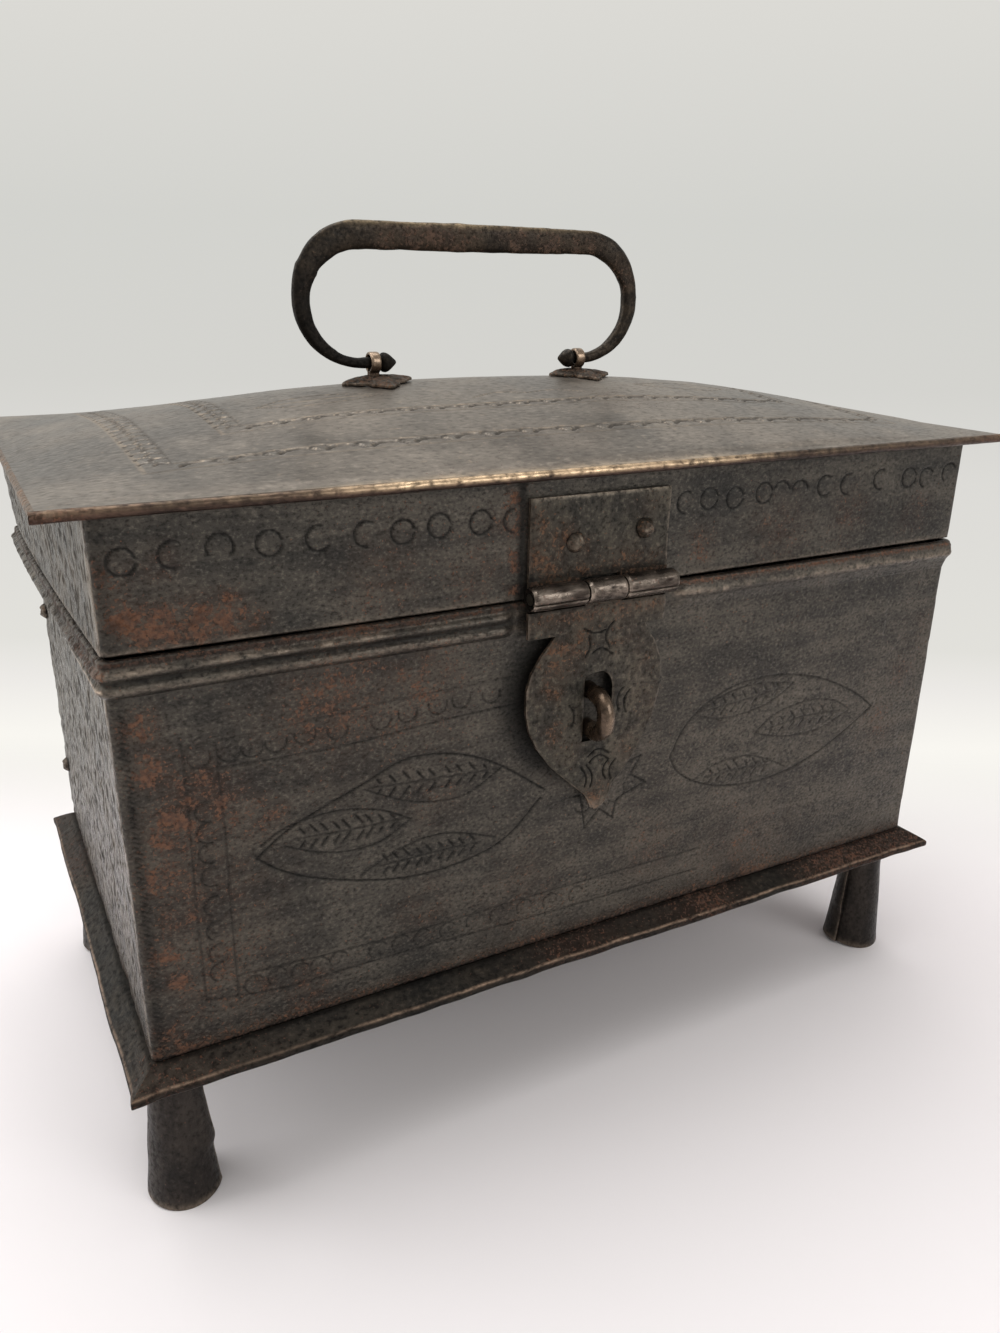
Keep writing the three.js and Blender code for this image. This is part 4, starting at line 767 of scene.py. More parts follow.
def lid_wall_marks(x, y, z, front, side, share):
    """(shade and dark lines, rub, rust) of the lid's walls: a dark line beside the left front edge,
    painted shade beside the hasp's plate and a painted shadow under the lid's plate; rub along the side
    walls' front edge and the hem; rust in patches low on the left and in broken lengths beside the
    hasp's plate."""
    run = along_sheet(x, y, front)
    patches = ((-133, 176, 5, 1.3), (-127, 173, 6, 1.4), (-119, 173, 6, 1.4), (-111, 174.5, 5, 1.2),
               (-104, 172, 4, .6), (-136, 186, 5, .6), (-125, 188, 5, .4), (-70, 180, 12, .35),
               (-45, 176, 10, .4), (-35, 190, 6, .6), (60, 178, 12, .4), (90, 180, 9, .4),
               (120, 178, 8, .35), (30, 176, 6, .5))
    beside_plate = (bump(x, HASP_X - 26.8, 2.2) * (front > 0.9)
                    * smooth(noise2(x, z, 3.2, 10), -0.7, 0.8))
    rust = np.maximum(spots(x, z, patches) * (front > 0.5), beside_plate)
    edge = bump(y, -HALF_Y + 2.4, 1.6) * (side > 0.9)
    rub = (0.45 * edge + 0.3 * bump(share, 0.01, 0.02)) * (0.6 + 0.4 * noise2(run, z, 8, 7))
    # A dark line by the left front edge, painted shade beside the hasp's plate and a painted shadow under the
    # plate's rolled edge.
    shade_and_dark_lines = (0.75 * bump(x, -HALF_X + 2.6, 2.2) * (front > 0.35) * (0.6 + 0.4 * noise2(x, z, 3.2, 9))
            + bump(x, HASP_X - 24.7, 1.6) * (front > 0.9)
            + 0.9 * smooth(share, 0.91, 0.99) * (front > 0.5))
    return shade_and_dark_lines, rub, rust


def make_lid_walls():
    """The lid's folded sheet: at a station, a point of the profile lies at base + o (a + bow + waves),
    and its height runs from its hem, 0.5 to 1 mm over the body's rim, to the underside of the crowned
    plate; the bow grows by almost half of itself on the way. The inner face is one sheet further in."""
    path = fold_path(0.9, 0.45)
    x, y, ox, oy, bow = (path[:, k][:, None] for k in range(5))
    front, side = np.abs(oy), np.abs(ox)
    top = LID_EDGE + crown_at(x + ox * bow, y)
    up = np.concatenate([[0.0, 0.012], np.arange(0.025, 0.99, 0.0135), [1.0]])
    down = np.linspace(1, 0, 10)
    share = np.concatenate([up, down])[None, :]
    outer = np.concatenate([0 * up + 1, 0 * down])[None, :]
    hem = RIM + np.interp(x, [-140, -120, -80, -50, 0, 40, 140], [0.9, 0.75, 0.55, 0.5, 0.6, 0.9, 1.0])
    z = hem + (top - hem) * share
    run = along_sheet(x, y, front)
    height, groove = chase_lid_front().read(*np.broadcast_arrays(x, z))
    on_front = (front > 0.99) * outer
    waves = wall_waves(run, z, 51, 1.2) * outer * smooth(share, 0, 0.1) * smooth(1 - share, 0, 0.1)
    waves += drawn_grain(run, y, z, 53) * (side > 0.9) * outer * smooth(share, 0, 0.05)
    out = -SHEET * (1 - outer) + bow * (1 + 0.45 * share) + waves + height * on_front
    points = surface(x + ox * out, y + oy * out, z)
    shade_and_dark_lines, rub, rust = lid_wall_marks(x, y, z, front, side, share)
    marks = marks_of(groove * on_front + shade_and_dark_lines * outer, rub * outer, rust * outer)
    place_walls(path, points, marks, "lid", ("lid_wall_left", "lid_front", "lid_wall_right"), "lid_wrapper")


# Lid plate

def held_at(x):
    """1 along the stretch of the lid's front edge by which it is lifted, and 0 towards its ends."""
    return smooth(x, -100, -62) * (1 - smooth(x, 20, 62))


def make_lid_plate():
    """The crowned plate: z = FACE + crown_at(x, y) + waves + pattern over a grid that ends at the
    rolled edge, where crown and waves have died out, and a plain crowned underside."""
    x = np.linspace(-PLATE_X + ROLL, PLATE_X - ROLL, 500)[:, None]
    y = np.linspace(-PLATE_Y + ROLL, PLATE_Y - ROLL, 276)[None, :]
    inset = np.minimum(PLATE_X - ROLL - np.abs(x), PLATE_Y - ROLL - np.abs(y))
    height, groove = chase_lid_top().read(*np.broadcast_arrays(x, y))
    waves = 0.35 * noise2(x, y, 48, 71) + 0.1 * noise2(x, y, 15, 72) + 0.03 * noise2(x, y, 5, 73)
    z = FACE + crown_at(x, y) * smooth(inset, -1, 5) + waves * smooth(inset, 0, 6) + height
    points = surface(x, y, z)
    stains = ((-76, -38, 9, .9), (-70, -26, 7, .8), (-64, -16, 6, .7), (21, -30, 5, 1), (22, -22, 5, .9))
    held = held_at(x)
    front_edge = ((0.15 + 0.85 * held) * bump(PLATE_Y - ROLL + y, 0, 0.6 + 1.1 * held)
                  * (0.6 + 0.4 * noise2(x, y, 10, 75)))
    pricks = 0.2 * smooth(noise2(x, y, 1.6, 76), 0.8, 0.95)
    groove_rims = 0.3 * smooth(groove, 0.05, 0.3) * (1 - smooth(groove, 0.3, 0.6))
    marks = marks_of(np.maximum(groove, 0.55 * spots(x, y, stains)), front_edge + pricks + groove_rims,
                     0.25 * smooth(noise2(x, y, 22, 77), 0.2, 0.9))
    middle = len(x) // 2
    left, right = Piece(), Piece()
    left.grid(points, marks, part=(0, middle))
    u = np.linspace(-PLATE_X + 2.6, PLATE_X - 2.6, 60)[:, None]
    v = np.linspace(-PLATE_Y + 2.6, PLATE_Y - 2.6, 34)[None, :]
    left.grid(surface(u, v, PLATE_TOP - SHEET + crown_at(u, v)), turn=True)
    right.grid(points, marks, part=(middle, len(x) - 1))
    left.place("lid_plate_left", "lid", "lid_sheet", lid_iron_painted_sheen, ("lid_top",))
    right.place("lid_plate_right", "lid", "lid_sheet", lid_iron_painted_sheen)


def make_lid_rolls():
    """The plate's edge rolled over a wire: along each side a circle of ROLL mm, open to the inside,
    whose radius wanders by up to a tenth along the edge and shrinks by a fifth on its way round. The
    front and back rolls run on to the corners and show their open ends there."""
    turn = np.radians(np.linspace(90, -215, 26))[None, :]
    tucked = 1 - 0.22 * smooth(-turn, 1.6, 3.7)

    def roll_radius(wander):
        return ROLL * (1 + (wander - 1) * smooth(-turn, -1.4, 0.5)) * tucked
    piece = Piece()
    for k, sign in enumerate((-1, 1)):
        t = np.linspace(-PLATE_X + 0.1, PLATE_X - 0.1, 420)[:, None]
        wander = 1 - 0.04 * k + 0.07 * noise2(t, 0, 17, 81 + k) + 0.05 * noise2(t, 0, 4, 83 + k)
        radius = roll_radius(wander)
        points = surface(t, sign * (PLATE_Y - ROLL + radius * np.cos(turn)),
                         FACE - ROLL + radius * np.sin(turn))
        rub = 0.2
        # On the front roll the rub mark is rubbed metal along the stretch by which the lid is lifted, and a
        # painted highlight on the roll's upper half.
        if sign < 0:
            rub = ((0.12 + 0.88 * held_at(t)) * smooth(np.sin(turn), -0.5, 0.5)
                   * (0.7 + 0.3 * noise2(t, 0, 6, 85) + 0.25 * noise2(t, 0, 1.3, 86)))
        piece.grid(points, marks_of(0, rub, 0.7 * bump(np.abs(t), PLATE_X, 14)), turn=sign > 0)
    for sign in (-1, 1):
        t = np.linspace(-PLATE_Y + 1.6, PLATE_Y - 1.6, 230)[:, None]
        wander = 0.9 + 0.06 * noise2(t, 0, 17, 87 + sign) + 0.04 * noise2(t, 0, 4, 89 + sign)
        radius = roll_radius(wander)
        points = surface(sign * (PLATE_X - ROLL + radius * np.cos(turn)), t,
                         FACE - ROLL + radius * np.sin(turn))
        piece.grid(points, marks_of(0, 0.14, 0.4), turn=sign < 0)
    piece.place("lid_edge_roll", "lid", "lid_sheet", roll_iron)


# Base and feet

def make_base():
    """The floor sheet with its skirt: profile points (out, z) carried round a rectangle with mitred
    corners. Along the way out wanders by up to 0.6 mm, 0.3 mm further in on the whole, and the
    skirt's z by as much; the floor wanders by a quarter of a millimetre."""
    over, under = 53.5, 52.3
    profile = np.array([(-4.0, over), (-1.0, over), (0.6, 53.3), (1.6, 52.8), (3.2, 51.9), (5.0, 50.8),
                        (6.4, 49.9), (7.0, 49.5), (7.35, 49.0), (7.4, 48.4), (7.38, 47.6), (7.1, 47.1),
                        (6.6, 47.0), (6.2, 47.3), (6.15, 48.2), (5.8, 48.9), (4.6, 49.5), (2.8, 50.7),
                        (1.0, 51.8), (-0.6, 52.2), (-4.0, under)])
    out, level = profile[:, 0][None, :], profile[:, 1][None, :]
    sides = ((-1, -1, 1, -1, 0, -1), (1, -1, 1, 1, 1, 0), (1, 1, -1, 1, 0, 1), (-1, 1, -1, -1, -1, 0))
    piece = Piece()
    for k, (start_x, start_y, end_x, end_y, nx, ny) in enumerate(sides):
        t = np.linspace(0, 1, 419 if ny else 230)[:, None]
        x = (start_x + (end_x - start_x) * t) * (HALF_X + out)
        y = (start_y + (end_y - start_y) * t) * (HALF_Y + out)
        run = x if ny else y
        calm = smooth(np.minimum(t, 1 - t), 0, 0.03) * smooth(out, 0.5, 4)
        wander = (0.4 * noise2(run, 0, 31, 95 + k) + 0.22 * noise2(run, 0, 7, 99 + k)) * calm - 0.3 * calm
        z = level + (0.42 * noise2(run, 0, 38, 103 + k) + 0.2 * noise2(run, 0, 9, 107 + k)) * calm
        x, y = x + nx * wander, y + ny * wander
        rub = bump(out, 7.0, 0.25) * (z > 49) * (0.55 + 0.45 * noise2(run, 0, 14, 111 + k))
        rust = 0.25 + 0.4 * noise2(run, 0, 26, 115 + k) + 0.5 * smooth(x, 80, 130) * (ny < 0)
        groove = 0.95 * bump(out, 0.4, 1.1) + 0.4 * bump(out, 5.9, 0.4) + 0.75 * (out > 7.2)
        piece.grid(surface(x, y, z), marks_of(groove, rub, rust))
    u = np.linspace(-HALF_X + 4, HALF_X - 4, 90)[:, None]
    v = np.linspace(-HALF_Y + 4, HALF_Y - 4, 50)[None, :]
    inset = np.minimum(HALF_X - 4 - np.abs(u), HALF_Y - 4 - np.abs(v))
    sag = 0.25 * noise2(u, v, 60, 121) * smooth(inset, 0, 20)
    rust = 0.3 + 0.3 * noise2(u, v, 30, 122)
    for z, turn in ((over, False), (under, True)):
        piece.grid(surface(u, v, z + sag), marks_of(0, 0, rust), turn=turn)
    piece.place("floor_sheet", "box", "wall_sheet", base_iron, ("base_plate",))


def make_foot(name, x, y, seam):
    """A rolled foot: its radius falls from 9.7 mm at the ground to 5.7 at the top, and grows by about
    1 mm over one turn, so that the end of the sheet laps over its start; the edge of the lap wanders
    and, above its lower third, stands out by up to 0.9 mm more. The bottom is open, its rim rises by
    1.1 cos^2 mm to the left and right, and the inner face lies one sheet further in."""
    turn = np.concatenate([[0.0], np.linspace(0.004, 1.03, 90)])[:, None] * 2 * np.pi
    share = turn / (2 * np.pi)
    h = np.concatenate([np.linspace(0, 1, 60), [1.0]])[None, :]
    taper = 9.7 + (5.7 - 9.7) * h ** 0.94
    ledge = 1.1 * smooth(share, 0.9, 1.03) * smooth(h, 0.26, 0.34) * (1 - 0.6 * h)
    lap = np.minimum(share, 1) * (1.15 - 0.75 * h) + ledge
    dent = 0.12 * noise2(turn * 8, h * 52, 8, 130) + 0.05 * noise2(turn * 8, h * 52, 2.5, 131)
    radius = taper + lap + dent * smooth(h, 0, 0.05)
    tilt = turn + seam + 0.03 * noise2(h * 52, 0, 12, 132) * share
    cx, cy = np.cos(tilt), np.sin(tilt)
    z = h * FOOT_TOP + (1 - h) ** 3 * 1.1 * cx ** 2
    outer = surface(x + radius * cx, y + radius * cy, z)
    inner = surface(x + (radius - SHEET) * cx, y + (radius - SHEET) * cy, z)
    piece = Piece()
    rub = 0.35 * bump(h, 0, 0.03) + 0.5 * bump(share, 1.03, 0.01)
    piece.grid(outer, marks_of(0, rub, 0.25 * smooth(h, 0.8, 1)))
    piece.grid(inner, turn=True)
    piece.grid(np.stack([outer[:, 0], inner[:, 0]], 1), turn=True)
    piece.grid(np.stack([outer[-1], inner[-1]], 0))
    top = np.linspace(1, 0.25, 6)[None, :]
    ring = radius[:, -1:] * top
    piece.grid(surface(x + ring * cx[:, -1:], y + ring * cy[:, -1:], FOOT_TOP + 0.35 * (1 - top ** 6)))
    piece.place(name + "_cone", "box", "feet", foot_iron, (name,))


# Rivets and hasp

def make_rivet(name, body, at, outward, head, rise, tail, grip, seed):
    """A hand-set rivet: a low dome rise (1 - r^3.2) over a ragged round of radius head, and the same
    as a flatter tail on the far side of a grip-long shank."""
    at, outward = np.asarray(at, float), np.asarray(outward, float)
    u = np.cross(outward, (0.3, 0.2, 1.0) if abs(outward[2]) < 0.9 else (1.0, 0.2, 0))
    u /= np.linalg.norm(u)
    v = np.cross(outward, u)

    def around(radius, turn, level):
        return (at + (radius * np.cos(turn))[..., None] * u + (radius * np.sin(turn))[..., None] * v
                + level[..., None] * outward)
    turn = 2 * np.pi * np.arange(30)[:, None] / 30
    dome = np.linspace(0.02, 0.94, 12)
    r = np.concatenate([dome, [0.99, 1.0, 0.97, 0.5]])[None, :]
    lift = np.concatenate([1 - dome ** 3.2, [0.1, 0.02, 0.0, 0.0]])[None, :]
    ragged = 1 + 0.07 * noise2(3 * np.cos(turn) + 9 * seed, 3 * np.sin(turn), 1.7, 140)
    dent = 0.16 * noise2(r * 3 * np.cos(turn) + 7 * seed, r * 3 * np.sin(turn), 0.9, 141) * (lift > 0.05)
    piece = Piece()
    for radius, height, start, sign in ((head, rise, 0.12, 1), (tail, 0.8, -grip - 0.12, -1)):
        level = start + sign * height * (lift + dent)
        groove = 0.9 * (r > 0.98) * (lift < 0.2)
        piece.grid(around(radius * r * ragged, turn, level), marks_of(groove, 0.22 * (1 - r ** 2), 0.4),
                   loop_u=True, turn=sign < 0)
    turn = 2 * np.pi * np.arange(12)[:, None] / 12
    depth = np.array([0.3, -grip - 0.3])[None, :] + 0 * turn
    piece.grid(around(0.5 * tail, turn, depth), loop_u=True, turn=True)
    piece.place(name + "_set", body, "rivets", strap_iron, (name,))


def plate(piece, left, right, z, front, thick, lift, marks, columns=60):
    """A plate seen from the front: row k runs from left[k] to right[k] at height z[k]. A point lies at
    y = front - lift(x, z); the back is thick behind it, and walls close the edges."""
    u = np.linspace(0, 1, columns)[:, None]
    x = left[None, :] + (right - left)[None, :] * u
    zz = z[None, :] + 0 * x
    downward = z[0] > z[-1]
    face = surface(x, front - lift(x, zz), zz)
    back = surface(x, front + thick, zz)
    piece.grid(face, marks(x, zz), turn=downward)
    piece.grid(back, turn=not downward)
    for strip in (np.stack([face[0], back[0]], 0), np.stack([back[-1], face[-1]], 0),
                  np.stack([back[:, 0], face[:, 0]], 1), np.stack([face[:, -1], back[:, -1]], 1)):
        piece.grid(strip, marks_of(0, 0.35, 0.3), turn=downward)


def strap(piece, low, high, z, front, thick, tone, columns):
    """The flat strap from a plate to its knuckle, from x = low to high, with the same marks all over."""
    plate(piece, 0 * z + low, 0 * z + high, z, front, thick, lambda x, zz: 0,
          lambda x, zz: marks_of(*tone), columns)


def knuckle(piece, x0, x1, seed, opening):
    """A rolled knuckle of the hasp's hinge: a spiral of sheet round the pin, whose outer radius
    wanders by 0.1 mm, with the sheet's end at the angle opening; both ends are closed rings."""
    x = np.linspace(x0, x1, max(int((x1 - x0) / 0.5), 8))[:, None]
    degrees = (np.concatenate([np.linspace(0, 352, 48), [356.0, 358.0]]) + opening)[None, :]
    turn = np.radians(degrees)
    step = smooth(degrees - opening, 349, 357)
    r = KNUCKLE - 0.09 + 0.09 * noise2(x, degrees / 24, 3.0, seed) - 0.75 * step
    near = np.minimum(x - x0, x1 - x)
    r = r - 0.5 * (1 - smooth(near, 0, 0.7))
    outer = surface(x, HASP_Y + r * np.cos(turn), HASP_Z + r * np.sin(turn))
    inner = surface(x, HASP_Y + BORE * np.cos(turn), HASP_Z + BORE * np.sin(turn))
    rub = 0.2 + 0.3 * noise2(x, degrees / 14, 5, seed + 1) + 0.7 * bump(near, 0.2, 0.35)
    piece.grid(outer, marks_of(0.9 * step, rub, 0.2), loop_v=True)
    for end, turned in ((0, True), (-1, False)):
        piece.grid(np.stack([outer[end], inner[end]], 0), marks_of(0.5), loop_v=True, turn=turned)
    piece.grid(inner, marks_of(0.9), loop_v=True, turn=True)


def make_hasp_plate():
    """The plate on the lid with its two outer knuckles; its left and right edges wander by 0.3 mm."""
    half, top, front, thick = 23.1, 195.4, -HALF_Y - 1.75, 1.4
    z = np.linspace(top, 172.2, 60)
    left = HASP_X - half + 0.3 * noise2(z, 0, 9, 150)
    right = HASP_X + half + 0.3 * noise2(z, 0, 8, 151)
    patches = ((-28, 188, 4, .9), (-28, 180, 5, .9), (-22, 174, 6, .9), (-11, 173, 6, .7), (2, 173, 7, .8),
               (12, 174, 4, .6), (-19.5, 184, 4, 1), (-12, 180, 4, .5), (8, 190, 5, .3))

    def lift(x, zz):
        return (0.12 * noise2(x, zz, 9, 152) + 0.05 * noise2(x, zz, 2.5, 153) - 0.35 * bump(zz, top, 0.5)
                - 0.3 * bump(x, HASP_X - half, 0.5) - 0.3 * bump(x, HASP_X + half, 0.5))

    def marks(x, zz):
        edge = bump(zz, top, 0.7) + bump(x, HASP_X + half, 0.7) + 0.6 * bump(x, HASP_X - half, 0.6)
        groove = 0.6 * bump(zz, 173.2, 1.0) + 0.5 * bump(x, HASP_X - 22.6, 0.8)
        return marks_of(groove, 0.3 * edge, spots(x, zz, patches))
    piece, rolled = Piece(), Piece()
    plate(piece, left, right, z, front, thick, lift, marks, 110)
    for x0, x1 in ((HASP_X - 24.2, HASP_X - 6.6), (HASP_X + 6.6, HASP_X + 24.2)):
        knuckle(rolled, x0, x1, 160 + int(x1), 205)
        strap(piece, max(x0, HASP_X - 23.0), min(x1, HASP_X + 23.0), np.linspace(172.6, HASP_Z + 0.4, 12),
              front, thick, (0.3, 0, 0.7), 20)
    piece.place("hasp_plate_worn", "lid", "strap", strap_iron, ("hasp_plate",))
    rolled.place("hasp_plate_knuckles", "lid", "strap", barrel_iron)


def leaf_edges(z):
    """The leaf's left and right edges at height z: the shield's outline as measured, a little
    different on its two sides, with a ragged tip."""
    left = np.interp(z, [99.1, 99.9, 101.0, 102.4, 104.4, 110.6, 117.1, 123.0, 128.8, 133.8, 138.0,
                         141.5, 146.3, 151.2, 154.2, 156.8],
                     [-6.4, -7.6, -7.9, -8.5, -9.6, -16.1, -22.6, -27.0, -29.5, -30.4, -30.8,
                      -30.6, -29.1, -26.1, -23.6, -21.8])
    right = np.interp(z, [99.1, 99.8, 100.8, 103.0, 106.0, 110.7, 117.6, 125.3, 131.5, 137.7, 143.7,
                          150.7, 154.2, 156.8],
                      [-4.6, -3.0, -2.1, -0.9, 0.3, 4.6, 9.8, 13.4, 15.0, 16.4, 15.5, 12.5, 10.1, 8.4])
    return left + 0.22 * noise2(z, 0, 4, 168), right + 0.22 * noise2(z, 0, 3.5, 169)


def make_hasp_leaf():
    """The shield-shaped leaf: rows from the shoulder down to the tip, each from the left edge to the
    right; rows that cross the slot are split at x = HASP_X -/+ s(z), where s is the slot's half
    width with half an ellipse on top, 2.2 mm tall on the left and 5.8 mm on the right. Its face
    carries the punched arcs and rounded edges."""
    field = chase_hasp()
    tip, shoulder, top = 99.1, 156.8, 164.4
    slot_half, slot_low, slot_top = 4.9, 122.4, 143.9
    front, thick = -HALF_Y - 3.95, 1.35
    z = np.unique(np.concatenate([np.linspace(tip, top, 190), np.linspace(slot_top - 5.8, slot_top, 36),
                                  [slot_low, slot_low - 0.02, slot_top, shoulder, shoulder - 0.05]]))[::-1]
    left, right = leaf_edges(z)
    square = z > shoulder - 0.02
    ragged = 0.2 * noise2(z, 0, 3, 166)
    left[square] = HASP_X - 24.3 + ragged[square]
    right[square] = HASP_X + 22.1 - ragged[square]
    patches = ((-20, 150, 7, .9), (-24, 140, 5, .7), (-14, 154, 6, .7), (0, 154, 6, .4), (10, 146, 5, .4),
               (-22, 127, 4, .8), (-6.5, 103, 5, .9), (-16, 120, 5, .35), (10, 130, 6, .4), (4, 118, 5, .4))
    u = np.linspace(0, 1, 46)[:, None]
    piece = Piece()
    for sign, tall in ((-1, 2.2), (1, 5.8)):
        over = np.clip(z - (slot_top - tall), 0, tall) / tall
        arch = slot_half * np.sqrt(np.clip(1 - over ** 2, 0, None))
        slot = np.where((z < slot_top) & (z >= slot_low), arch, 0.0)
        edge = (left if sign < 0 else right)[None, :]
        hole = HASP_X + sign * slot[None, :]
        x = edge + (hole - edge) * u if sign < 0 else hole + (edge - hole) * u
        zz = z[None, :] + 0 * x
        height, groove = field.read(x, zz)
        rim = np.minimum(np.abs(x - edge), np.where(slot > 0, np.abs(x - hole), 9))
        waves = (0.1 * noise2(x, zz, 11, 170) + 0.06 * noise2(x, zz, 3, 171)
                 + 0.03 * noise2(x, zz, 1.2, 172))
        face = surface(x, front - (height + waves - 0.35 * np.exp(-(rim / 0.45) ** 2)), zz)
        back = surface(x, front + thick, zz)
        rub = (0.35 * np.exp(-(rim / 0.4) ** 2) * (0.6 + 0.4 * noise2(x, zz, 3, 173))
               + 0.3 * smooth(104 - zz, 0, 5) + 0.06 * smooth(x, HASP_X - 4, HASP_X + 14))
        rust = spots(x, zz, patches) + 0.4 * bump(zz, 162, 3)
        piece.grid(face, marks_of(groove + 0.5 * bump(zz, top, 0.8), rub, rust), turn=True)
        piece.grid(back)
        outer, inner = (0, -1) if sign < 0 else (-1, 0)
        piece.grid(np.stack([face[outer], back[outer]], 0), marks_of(0.3, 0.2, 0.5), turn=sign > 0)
        rows = np.where(slot > 0)[0]
        wall = slice(rows[0] - 1, rows[-1] + 1)
        piece.grid(np.stack([face[inner][wall], back[inner][wall]], 0), turn=sign < 0)
        piece.grid(np.stack([face[:, 0], back[:, 0]], 1))
        piece.grid(np.stack([face[:, -1], back[:, -1]], 1), turn=True)
    floor = np.linspace(HASP_X - slot_half, HASP_X + slot_half, 12)[:, None]
    piece.grid(surface(floor, np.array([front, front + thick])[None, :], slot_low), turn=True)
    strap(piece, HASP_X - 6.1, HASP_X + 6.1, np.linspace(164.2, 166.4, 6), front, thick, (0.2, 0, 0.4), 16)
    piece.place("hasp_leaf_worn", "hasp", "strap", strap_iron, ("hasp_leaf",))
    rolled = Piece()
    knuckle(rolled, HASP_X - 6.15, HASP_X + 6.15, 180, 25)
    rolled.place("hasp_leaf_knuckle", "hasp", "strap", barrel_iron)


def make_staple():
    """The round-bar loop: a path in the plane x = STAPLE_X out through the wall, half round a circle
    and back in, then up and down the inside; its bar is hammered."""
    loop, bar, bend_radius = 5.9, 2.8, 2.5
    nose = -HALF_Y - 13.3 + bar + loop
    inside = -HALF_Y + SHEET + 0.3 + 1.4 + 0.8 + bend_radius
    low = STAPLE_Z - loop
    turn = np.radians(np.linspace(-90, 90, 30))
    bend = np.radians([20, 45, 70])
    half = np.concatenate([
        np.stack([np.full(6, inside), np.linspace(low - 6.0, low - 2.8, 6)], 1),
        np.stack([inside - bend_radius + bend_radius * np.cos(bend),
                  low - bend_radius + bend_radius * np.sin(bend)], 1),
        np.stack([np.linspace(inside - 2.6, nose + 0.6, 16), np.full(16, low)], 1)])
    arc = np.stack([nose - loop * np.cos(turn), STAPLE_Z + loop * np.sin(turn)], 1)
    run = np.concatenate([half, arc, half[::-1] * (1, -1) + (0, 2 * STAPLE_Z)])

    def lift(s, angle):
        return (0.12 * noise2(s, 4 * np.cos(angle), 2.6, 190)
                + 0.05 * noise2(s, 6 * np.sin(angle), 1.1, 191) - 0.16)
    grid = sweep(surface(STAPLE_X, run[:, 0], run[:, 1]), bar, bar, (1, 0, 0), 32, 1.0, lift)
    x, y, z = grid[..., 0], grid[..., 1], grid[..., 2]
    # Within about 5.5 mm of the wall the bar is darkened as painted shade where it comes out of the wall
    # behind the hasp's leaf.
    reach = smooth(-y, HALF_Y + 2, HALF_Y + 5.5)
    face = bump(x, STAPLE_X, 1.5) * smooth(-y, 85, 89)
    ring = bump(np.hypot(y - nose, z - STAPLE_Z), 3.4, 0.9)
    piece = Piece()
    piece.grid(grid, marks_of(0.8 * (1 - reach), 0.35 * face + 0.5 * ring * reach, 0.3 * ring), loop_v=True)
    piece.cap(grid[0], (0, 0, -1)).cap(grid[-1], (0, 0, 1))
    piece.place("staple_worn", "box", "worn_bar", bronze_wear, ("staple",))


# Handle

def bail_path(reach):
    """Half of the handle as (x, z, tall, thick), from the bud's tip round the loop to the grip: a
    straight through the eye, half a circle of radius 18.3, and the grip; the bar goes from 1.8 mm
    round to a grip on edge, 8.8 by 4.2."""
    radius, bar, grip_z = 18.3, 1.8, 36.6
    centre = reach - radius
    start = -EYE_SPAN + 1.7 + 0.4
    along = np.array([1.0, 0.95, 0.86, 0.74, 0.62, 0.5, 0.38, 0.28, 0.18, 0.1, 0.04, 0.0])
    fat = np.array([0.06, 0.2, 0.34, 0.52, 0.7, 0.85, 0.96, 1.0, 0.97, 0.86, 0.72, 0.63])
    bud = np.stack([start + 5.5 * along, 0 * along, 3.0 * fat, 2.8 * fat], 1)
    u = np.linspace(0.05, 1, 14)
    stem = np.stack([start + (-centre - start) * u, 0 * u, bar + 0 * u, bar + 0 * u], 1)
    u = np.linspace(0.02, 1, 46)
    turn = -np.pi / 2 - np.pi * u
    leg, top = smooth(u, 0, 0.45), smooth(u, 0.42, 0.85)
    loop = np.stack([-centre + radius * np.cos(turn), radius + radius * np.sin(turn),
                     bar + 1.0 * leg + 1.6 * top, bar + 0.5 * leg - 0.2 * top], 1)
    u = np.linspace(0.03, 1, 40)
    grip = np.stack([-centre * (1 - u), grip_z + 0 * u, 4.4 + 0 * u, 2.1 + 0 * u], 1)
    return np.concatenate([bud, stem, loop, grip])


def make_bail():
    """The hammered handle: its bar is carried along both halves of the path, with facets 0.2 mm
    deep and the grip a little thinner to the right."""
    left, right = bail_path(59.6), bail_path(57.4)[::-1][1:]
    run = np.concatenate([left, right * (-1, 1, 1, 1)])
    x, z = run[:, 0], run[:, 1]
    slim = 1 - 0.07 * smooth(x, 5, 45) * (z > 20)
    sway = 0.25 * noise2(x + z, 0, 22, 200) * smooth(z, 2, 10)

    def lift(s, angle):
        facets = (0.2 * noise2(s, 5 * np.sin(angle), 6.5, 201) + 0.1 * noise2(s, 6 * np.cos(angle), 2.8, 202)
                  + 0.04 * noise2(s, 9 * np.sin(angle), 1.1, 203))
        return (facets - 0.36) * smooth(s, 3, 14) * smooth(s[-1] - s, 3, 14)
    centres = surface(BAIL_X + x, sway, BAIL_Z + z)
    grid = sweep(centres, run[:, 2] * slim, run[:, 3], (0, 1, 0), 36, 0.78, lift)
    patches = ((-24, 261, 8, 1), (-13, 259, 7, .8), (8, 261, 9, .7), (20, 258, 7, .9), (-36, 260, 7, .6),
               (33, 260, 7, .7), (-63, 246, 4, .4), (50, 252, 6, .7))
    across, up = grid[..., 0], grid[..., 2] - BAIL_Z
    edge = bump(up, 40.4, 0.8) * (0.6 + 0.4 * noise2(across, up, 8, 204))
    shaded = 0.8 * (1 - smooth(up, 18, 38)) * smooth(-across, 10, 30)
    piece = Piece()
    piece.grid(grid, marks_of(shaded, 0.85 * edge, spots(across, grid[..., 2], patches)), loop_v=True)
    piece.cap(grid[0], (1, 0, 0)).cap(grid[-1], (-1, 0, 0))
    piece.place("bail", "handle", "handle_bar", bail_iron, ("handle",))


